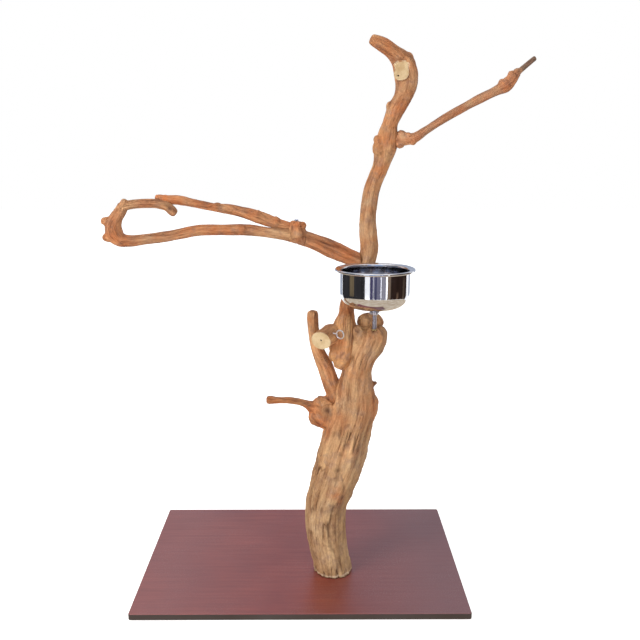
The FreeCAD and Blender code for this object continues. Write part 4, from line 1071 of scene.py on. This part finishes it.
bowl = {
    "middle": (0.131, -0.072),
    "foot": 0.533,
    "radius": 0.0606,
    "wall": 0.0009,
    "corner": 0.028,
    "top": 0.6025,
    "rim": 0.070,
    "bead": 0.0024,
    "steel": {"body": (0.70, 0.71, 0.75, 1), "dull": (0.58, 0.59, 0.64, 1), "smear": 0.5, "rough": 0.045,
              "roughSpread": 0.05, "across": 2600.0, "along": 30.0, "bump": 0.06},
}
polishedSteel = metalFinish("polishedSteel", bowl["steel"])
outer, wall, corner, base = bowl["radius"], bowl["wall"], bowl["corner"], bowl["foot"]
beadLine = (bowl["rim"] - bowl["bead"], bowl["top"] - bowl["bead"])
shell = [(0, base), (0.018, base), (0.0205, base + 0.0002), (0.0225, base)]
shell += arcPoints(outer - corner, base + corner, corner, -90, 0, 22)
shell += [(outer, base + 0.040), (outer, base + 0.052), (outer, beadLine[1] - 0.0042)]
shell += arcPoints(outer + 0.003, beadLine[1] - 0.003, 0.003, 180, 90, 7)
shell += arcPoints(beadLine[0], beadLine[1], bowl["bead"], -175, 145, 18)
shell += [(beadLine[0] - 0.0028, beadLine[1] + 0.0011)]
shell += arcPoints(outer + 0.0028, beadLine[1] - 0.0028, 0.0039, 90, 180, 7)
shell += [(outer - wall, base + 0.052), (outer - wall, base + 0.040)]
shell += arcPoints(outer - corner, base + corner, corner - wall, 0, -90, 22)
shell += [(0.0225, base + wall), (0.0205, base + wall + 0.0002), (0.018, base + wall), (0, base + wall)]
bowlPiece = turnProfile("cupBowl", shell, bowl["middle"], 160)
dress(bowlPiece, polishedSteel, "cup", "stainless", "cup_bowl")

zinc = {"body": (0.60, 0.60, 0.69, 1), "dull": (0.44, 0.45, 0.53, 1), "smear": 0.6, "rough": 0.2,
        "roughSpread": 0.14, "across": 700.0, "along": 120.0, "bump": 0.2}
zincSteel = metalFinish("zincSteel", zinc)
brass = {"body": (0.72, 0.53, 0.24, 1), "dull": (0.5, 0.36, 0.17, 1), "smear": 0.6, "rough": 0.26,
         "roughSpread": 0.15, "across": 900.0, "along": 60.0, "bump": 0.2}
brassMetal = metalFinish("brassMetal", brass)

# the stud carries a real rolled thread
stud = {
    "low": 0.482,
    "high": 0.5324,
    "radius": 0.004,
    "pitch": 0.00125,
    "depth": 0.00062,
    "around": 36,
    "chamfer": 0.0007,
}
mesh = bmesh.new()
rings = []
x, y = bowl["middle"]
for height in np.arange(stud["low"], stud["high"] + 1e-9, stud["pitch"] / 6):
    ring = []
    end = min(height - stud["low"], stud["high"] - height)
    for a in np.arange(stud["around"]) / stud["around"] * 2 * math.pi:
        turn = (height / stud["pitch"] - a / (2 * math.pi)) % 1.0
        root = min(1.0, abs(turn - 0.5) * 2.6)
        radius = stud["radius"] - stud["depth"] * (1 - root) - max(0.0, stud["chamfer"] - end)
        ring.append(mesh.verts.new((x + radius * math.cos(a), y + radius * math.sin(a), height)))
    rings.append(ring)
for low, high in zip(rings[:-1], rings[1:]):
    for face in bridge(mesh, low, high):
        face.smooth = True
mesh.faces.new(list(reversed(rings[0])))
mesh.faces.new(rings[-1])
studPiece = meshObject("cupStud", mesh)
dress(studPiece, zincSteel, "stud", "stainless", "cup_stud")
print("cup and stud built")


def addBar(mesh, line, radii, around=24, flat=1.0, facing=(0, 0, 1)):
    spine = followStations([(*p, r) for p, r in zip(line, radii)], step=0.0006, facing=facing)
    spine["radius"][:, 1] *= flat
    addTube(mesh, spine, 0.0, 0.0, (0.9, 0.9), around)


wingNut = {
    "middle": Vector((0.131, -0.072, 0.5189)),
    "turn": math.radians(35),
    "around": 48,
    "voxel": 0.00036,
    "soften": 4,
    "hub": [(0.00405, 0.0), (0.0054, 0.0), (0.0062, 0.001), (0.0066, 0.0055), (0.0062, 0.0092),
            (0.0054, 0.010), (0.00405, 0.010)],
    "wing": [(0.0052, 0.0042), (0.0085, 0.0052), (0.0113, 0.0064)],
    "wingRadii": [0.0024, 0.0027, 0.0031],
    "wingFlat": 0.42,
}
mesh = bmesh.new()
rings = [circleVerts(mesh, (0, 0), radius, height, wingNut["around"]) for radius, height in wingNut["hub"]]
for low, high in zip(rings, rings[1:] + rings[:1]):
    bridge(mesh, low, high)
for side in (-1, 1):
    line = [(side * x, 0, z) for x, z in wingNut["wing"]]
    addBar(mesh, line, wingNut["wingRadii"], flat=wingNut["wingFlat"])
for v in mesh.verts:
    v.co = Matrix.Rotation(wingNut["turn"], 3, "Z") @ v.co + wingNut["middle"]
nutPiece = meshObject("wingNut", mesh)
merge = nutPiece.modifiers.new("merge", "REMESH")
merge.mode = "VOXEL"
merge.voxel_size = wingNut["voxel"]
soft = nutPiece.modifiers.new("soften", "SMOOTH")
soft.iterations = wingNut["soften"]
settle(nutPiece)
for polygon in nutPiece.data.polygons:
    polygon.use_smooth = True
dress(nutPiece, zincSteel, "nut", "zinc_steel", "wing_nut")

# the eye is bent from one wire: its ring, nearly closed, then the shank with a coarse thread
eye = {
    "middle": Vector((0.070, -0.100, 0.4905)),
    "ring": 0.0072,
    "wire": 0.00145,
    "shankWay": Vector((-0.821, 0.571, 0)),
    "shank": 0.024,
    "bare": 46,
    "taper": 48,
    "threadDepth": 0.22,
}
up = Vector((0, 0, 1))
line = []
for turn in np.linspace(math.radians(-350), math.radians(-4), 44):
    spot = eye["middle"] + eye["shankWay"] * eye["ring"] * math.cos(turn)
    line.append(spot + up * eye["ring"] * math.sin(turn))
start = eye["middle"] + eye["shankWay"] * (eye["ring"] + 0.0008)
line += [start + eye["shankWay"] * d for d in np.linspace(0.001, eye["shank"] - 0.0016, 60)]
radii = [eye["wire"]] * eye["bare"]
for k in range(len(line) - eye["bare"]):
    point = 1 if k < eye["taper"] else 1 - (k - eye["taper"] + 1) * 0.06
    radii.append(eye["wire"] * (1 - eye["threadDepth"] * (k % 3 == 1)) * point)
mesh = bmesh.new()
addBar(mesh, line, radii, 18, facing=(0.571, 0.821, 0))
for face in mesh.faces:
    face.smooth = True
eyePiece = meshObject("screwEye", mesh)
bright = dict(zinc)
bright.update({
    "body": (0.86, 0.81, 0.80, 1),
    "dull": (0.72, 0.68, 0.67, 1),
    "rough": 0.36,
    "roughSpread": 0.08,
})
dress(eyePiece, metalFinish("brightWire", bright), "stand", "zinc_steel", "screw_eye")

# pan head with a crossed recess, its shank down in the knob
knobScrew = {
    "middle": Vector((-0.007, -0.001, 0.6785)),
    "head": 0.0042,
    "cap": 0.0028,
    "shank": 0.002,
    "length": 0.036,
    "root": 0.78,
    "recessReach": 0.0027,
    "recessHalf": 0.0008,
    "recessDepth": 0.0014,
}
middle, head, length = knobScrew["middle"], knobScrew["head"], knobScrew["length"]
profile = [(0.0, -length), (0.0006, -length + 0.0012)]
for k in range(26):
    profile.append((knobScrew["shank"] * (knobScrew["root"] if k % 2 else 1.0), -0.0325 + k * 0.0012))
profile += [(knobScrew["shank"], -0.0002), (head - 0.0002, 0.0), (head, 0.0004), (head * 0.95, 0.0013)]
profile += [(head * 0.78, 0.0021), (head * 0.45, 0.0026), (0.0, knobScrew["cap"])]
screwPiece = turnProfile("knobScrew", [(r, z + middle.z) for r, z in profile], middle[:2], 64)
mesh = bmesh.new()
mesh.from_mesh(screwPiece.data)
top = [f for f in mesh.faces if f.calc_center_median().z > middle.z + 0.0015]
topEdges = list(dict.fromkeys(e for f in top for e in f.edges))
bmesh.ops.subdivide_edges(mesh, edges=topEdges, cuts=3, use_grid_fill=True)
for v in mesh.verts:
    x, y = v.co.x - middle.x, v.co.y - middle.y
    crossed = min(abs(x + y), abs(x - y)) < knobScrew["recessHalf"]
    if v.co.z > middle.z + 0.0012 and math.hypot(x, y) < knobScrew["recessReach"] and crossed:
        v.co.z -= knobScrew["recessDepth"]
mesh.to_mesh(screwPiece.data)
mesh.free()
dress(screwPiece, zincSteel, "stand", "zinc_steel", "knob_screw")
print("small metal built")

# the stained board keeps its CAD solid
board = {
    "stain": paint(138, 56, 40),
    "darkStainAndShade": paint(98, 38, 34),
    "redStain": paint(156, 66, 44),
    "edge": paint(44, 20, 14),
    "dustAndSheen": paint(176, 150, 150),
}
boardMaterial, tree, surface = newMaterial("stainedBoard")
place = placeOf(tree)
turned = put(tree, "Mapping", {"Vector": place, "Rotation": (0, math.pi / 2, 0)}).outputs[0]
lines = fillGroup(tree, longGrain, {"Grain": turned, "Width": 160.0, "Stretch": 0.05, "Wander": 0.4})
cloud = patchMask(tree, place, 7.0, 0.35, 0.68)
speck = fillGroup(tree, settledDust, {"Place": place, "Amount": 0.25, "Speck": 420.0})["Mask"]
colour = mixColour(tree, cloud, board["stain"], board["redStain"])
colour = mixColour(tree, sums(tree, "MULTIPLY", lines["Streak"], 0.4), colour, board["darkStainAndShade"])
# painted shade: the stain darkens towards the right end of the board
across = put(tree, "SeparateXYZ", {0: place}).outputs[0]
colour = mixColour(tree, spread(tree, across, 0.0, 0.26, 0.0, 0.8), colour, board["darkStainAndShade"])
colour = mixColour(tree, sums(tree, "MULTIPLY", lines["Fibre"], 0.22), colour, board["redStain"])
up = put(tree, "SeparateXYZ", {0: put(tree, "NewGeometry").outputs["Normal"]}).outputs[2]
colour = mixColour(tree, spread(tree, up, 0.15, 0.75, 1.0, 0.0), colour, board["edge"])
# painted sheen: pale mauve on the top towards both ends of the board; the same colour also gives the dust specks
paintedSheen = spread(tree, sums(tree, "ABSOLUTE", across), 0.05, 0.24, 0.0, 0.16)
colour = mixColour(tree, sums(tree, "MULTIPLY", paintedSheen, spread(tree, up, 0.3, 0.9)), colour, board["dustAndSheen"])
colour = mixColour(tree, speck, colour, board["dustAndSheen"])
tree.links.new(colour, surface.inputs["Base Color"])
tree.links.new(spread(tree, lines["Streak"], 0.0, 1.0, 0.34, 0.46), surface.inputs["Roughness"])
surface.inputs["Specular IOR Level"].default_value = 0.9
surface.inputs["IOR"].default_value = 1.6
surface.inputs["Specular Tint"].default_value = (0.78, 0.88, 1.0, 1)
surface.inputs["Coat Weight"].default_value = 0.08
surface.inputs["Coat Roughness"].default_value = 0.3
addBump(tree, surface, lines["Fibre"], 0.08, 0.0004)

rubber = {"body": paint(40, 40, 42), "worn": paint(70, 70, 72)}
rubberMaterial, tree, surface = newMaterial("rubberFoot")
worn = patchMask(tree, placeOf(tree), 260.0, 0.4, 0.7)
tree.links.new(mixColour(tree, worn, rubber["body"], rubber["worn"]), surface.inputs["Base Color"])
tree.links.new(spread(tree, worn, 0.0, 1.0, 0.7, 0.9), surface.inputs["Roughness"])
addBump(tree, surface, worn, 0.2, 0.0003)

keptNodes = {
    "base_board": boardMaterial,
    "base_feet": rubberMaterial,
    "stud_insert": brassMetal,
    "cup_boss": polishedSteel,
}
for nodeName in (
        "trunk_lag_bolt", "lag_washer", "base_screws", "limb_screws", "fork_screw", "branch_screw", "loop_screw"):
    keptNodes[nodeName] = zincSteel
for nodeName, material in keptNodes.items():
    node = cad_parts[nodeName]
    if not node.material_slots:
        node.data.materials.append(material)
    for slot in node.material_slots:
        slot.material = material
print("board, feet and hidden fixings finished")

# floor, studio cards and lamps
studio = {
    "world": 0.48,
    "keyPower": 36.0,
    "fillPower": 13.0,
    "topPower": 5.0,
    "floorGlow": 0.85,
    "floorHalf": 9.0,
}
mesh = bmesh.new()
bmesh.ops.create_grid(mesh, x_segments=8, y_segments=8, size=studio["floorHalf"])
floor = meshObject("floor", mesh)
floorMaterial, tree, surface = newMaterial("paleFloor", "MixShader")
plain = put(tree, "BsdfDiffuse", {"Color": paint(236, 236, 236)}).outputs[0]
glow = put(tree, "Emission", {"Color": (1, 1, 1, 1), "Strength": studio["floorGlow"]}).outputs[0]
both = put(tree, "AddShader", {0: plain, 1: glow}).outputs[0]
wire(tree, surface, {0: seenDirectly(tree), 1: plain, 2: both})
floor.data.materials.append(floorMaterial)

world = bpy.data.worlds.new("studioWorld")
bpy.context.scene.world = world
world.use_nodes = True
tree = world.node_tree
tree.nodes.clear()
strength = spread(tree, seenDirectly(tree), 0.0, 1.0, studio["world"], 1.0)
sky = put(tree, "Background", {0: (1, 1, 1, 1), 1: strength})
put(tree, "OutputWorld", {0: sky.outputs[0]})


def addLamp(name, spot, target, size, power, colour):
    light = bpy.data.lights.new(name, "AREA")
    light.shape = "DISK"
    light.size = size
    light.energy = power
    light.color = colour
    lamp = bpy.data.objects.new(name, light)
    lamp.location = spot
    lamp.rotation_euler = (Vector(target) - Vector(spot)).to_track_quat("-Z", "Y").to_euler()
    bpy.context.scene.collection.objects.link(lamp)


addLamp("keyLamp", (-1.7, -1.5, 1.15), (0.03, -0.02, 0.42), 1.2, studio["keyPower"], (1.0, 0.98, 0.95))
addLamp("fillLamp", (1.2, -1.9, 0.6), (0.1, -0.02, 0.4), 1.6, studio["fillPower"], (0.96, 0.97, 1.0))
addLamp("topLamp", (0.1, 0.4, 2.3), (0.05, 0.0, 0.5), 1.4, studio["topPower"], (1.0, 1.0, 1.0))

# cards seen only in polished metal: bearing from the bowl, half width, low, high, distance, shade
cards = {
    "leftCard": (-86, 50, 0.0, 0.62, 1.3, paint(62, 60, 62)),
    "tanCard": (-84, 9, 0.30, 0.46, 1.2, paint(128, 112, 86)),
    "upperLeftCard": (-76, 34, 0.64, 2.4, 1.36, paint(122, 126, 140)),
    "upperGreyCard": (-37, 5, 0.72, 2.4, 1.34, paint(206, 212, 226)),
    "upperBlueCard": (-17, 15, 0.72, 2.4, 1.32, paint(176, 204, 250)),
    "upperPaleCard": (4, 6, 0.72, 2.4, 1.3, paint(240, 246, 255)),
    "upperDuskCard": (17, 7, 0.72, 2.4, 1.3, paint(128, 150, 200)),
    "upperTanCard": (34, 10, 0.72, 2.4, 1.34, paint(140, 124, 104)),
    "upperRightCard": (78, 34, 0.66, 2.4, 1.36, paint(116, 108, 112)),
    "violetCard": (-15, 5, 0.0, 0.72, 1.3, paint(92, 88, 124)),
    "frontCard": (3, 12, 0.0, 0.72, 1.35, paint(142, 140, 162)),
    "blueCard": (-1, 2.2, 0.0, 0.72, 1.25, paint(74, 76, 120)),
    "greyCard": (24, 8, 0.0, 0.72, 1.3, paint(168, 166, 178)),
    "buffCard": (42, 6, 0.0, 0.72, 1.3, paint(150, 128, 108)),
    "rightCard": (84, 36, 0.0, 0.68, 1.3, paint(58, 42, 36)),
    "rightTanCard": (74, 4, 0.05, 0.34, 1.2, paint(136, 108, 88)),
    "farRightCard": (102, 5, 0.05, 0.40, 1.2, paint(110, 92, 78)),
    "backCard": (180, 40, 0.0, 3.2, 2.4, paint(204, 212, 230)),
}


def dressCard(card, size, shade, deeper):
    material, tree, surface = newMaterial(card.name, "Emission")
    cloud = patchMask(tree, placeOf(tree), size, 0.35, 0.65)
    wire(tree, surface, {0: mixColour(tree, cloud, shade, deeper), 1: 1.0})
    card.data.materials.append(material)
    card.visible_camera = False
    card.visible_diffuse = False
    card.visible_shadow = False
    card.visible_transmission = False


for name, (bearing, half, low, high, distance, shade) in cards.items():
    mesh = bmesh.new()
    columns = []
    for a in np.radians(np.linspace(bearing - half, bearing + half, 13)):
        x, y = bowl["middle"][0] + distance * math.sin(a), bowl["middle"][1] - distance * math.cos(a)
        columns.append((mesh.verts.new((x, y, low)), mesh.verts.new((x, y, high))))
    for (a, b), (c, d) in zip(columns[:-1], columns[1:]):
        mesh.faces.new((a, c, d, b))
    deeper = (shade[0] * 0.5, shade[1] * 0.5, shade[2] * 0.5, 1)
    dressCard(meshObject(name, mesh), 3.5, shade, deeper)

# a buff ring just above the floor, again seen only in polished metal
ground = {"middle": (0.1, -0.05), "inner": 0.03, "outer": 1.28, "height": 0.002, "around": 64}
mesh = bmesh.new()
rings = [circleVerts(mesh, ground["middle"], ground[side], ground["height"], ground["around"])
         for side in ("inner", "outer")]
bridge(mesh, *rings)
dressCard(meshObject("groundCard", mesh), 5.0, paint(238, 224, 202), paint(200, 178, 150))

view = {"lens": 43.4, "sensor": 36.0, "spot": (0.0287, -1.4001, 0.8054), "tilt": 77.47, "turn": -0.28}
camera = bpy.data.cameras.new("camera")
camera.lens = view["lens"]
camera.sensor_width = view["sensor"]
cameraObject = bpy.data.objects.new("camera", camera)
cameraObject.location = view["spot"]
cameraObject.rotation_euler = (math.radians(view["tilt"]), 0.0, math.radians(view["turn"]))
bpy.context.scene.collection.objects.link(cameraObject)
bpy.context.scene.camera = cameraObject
bpy.context.scene.view_settings.view_transform = "Standard"
print("studio and camera set")
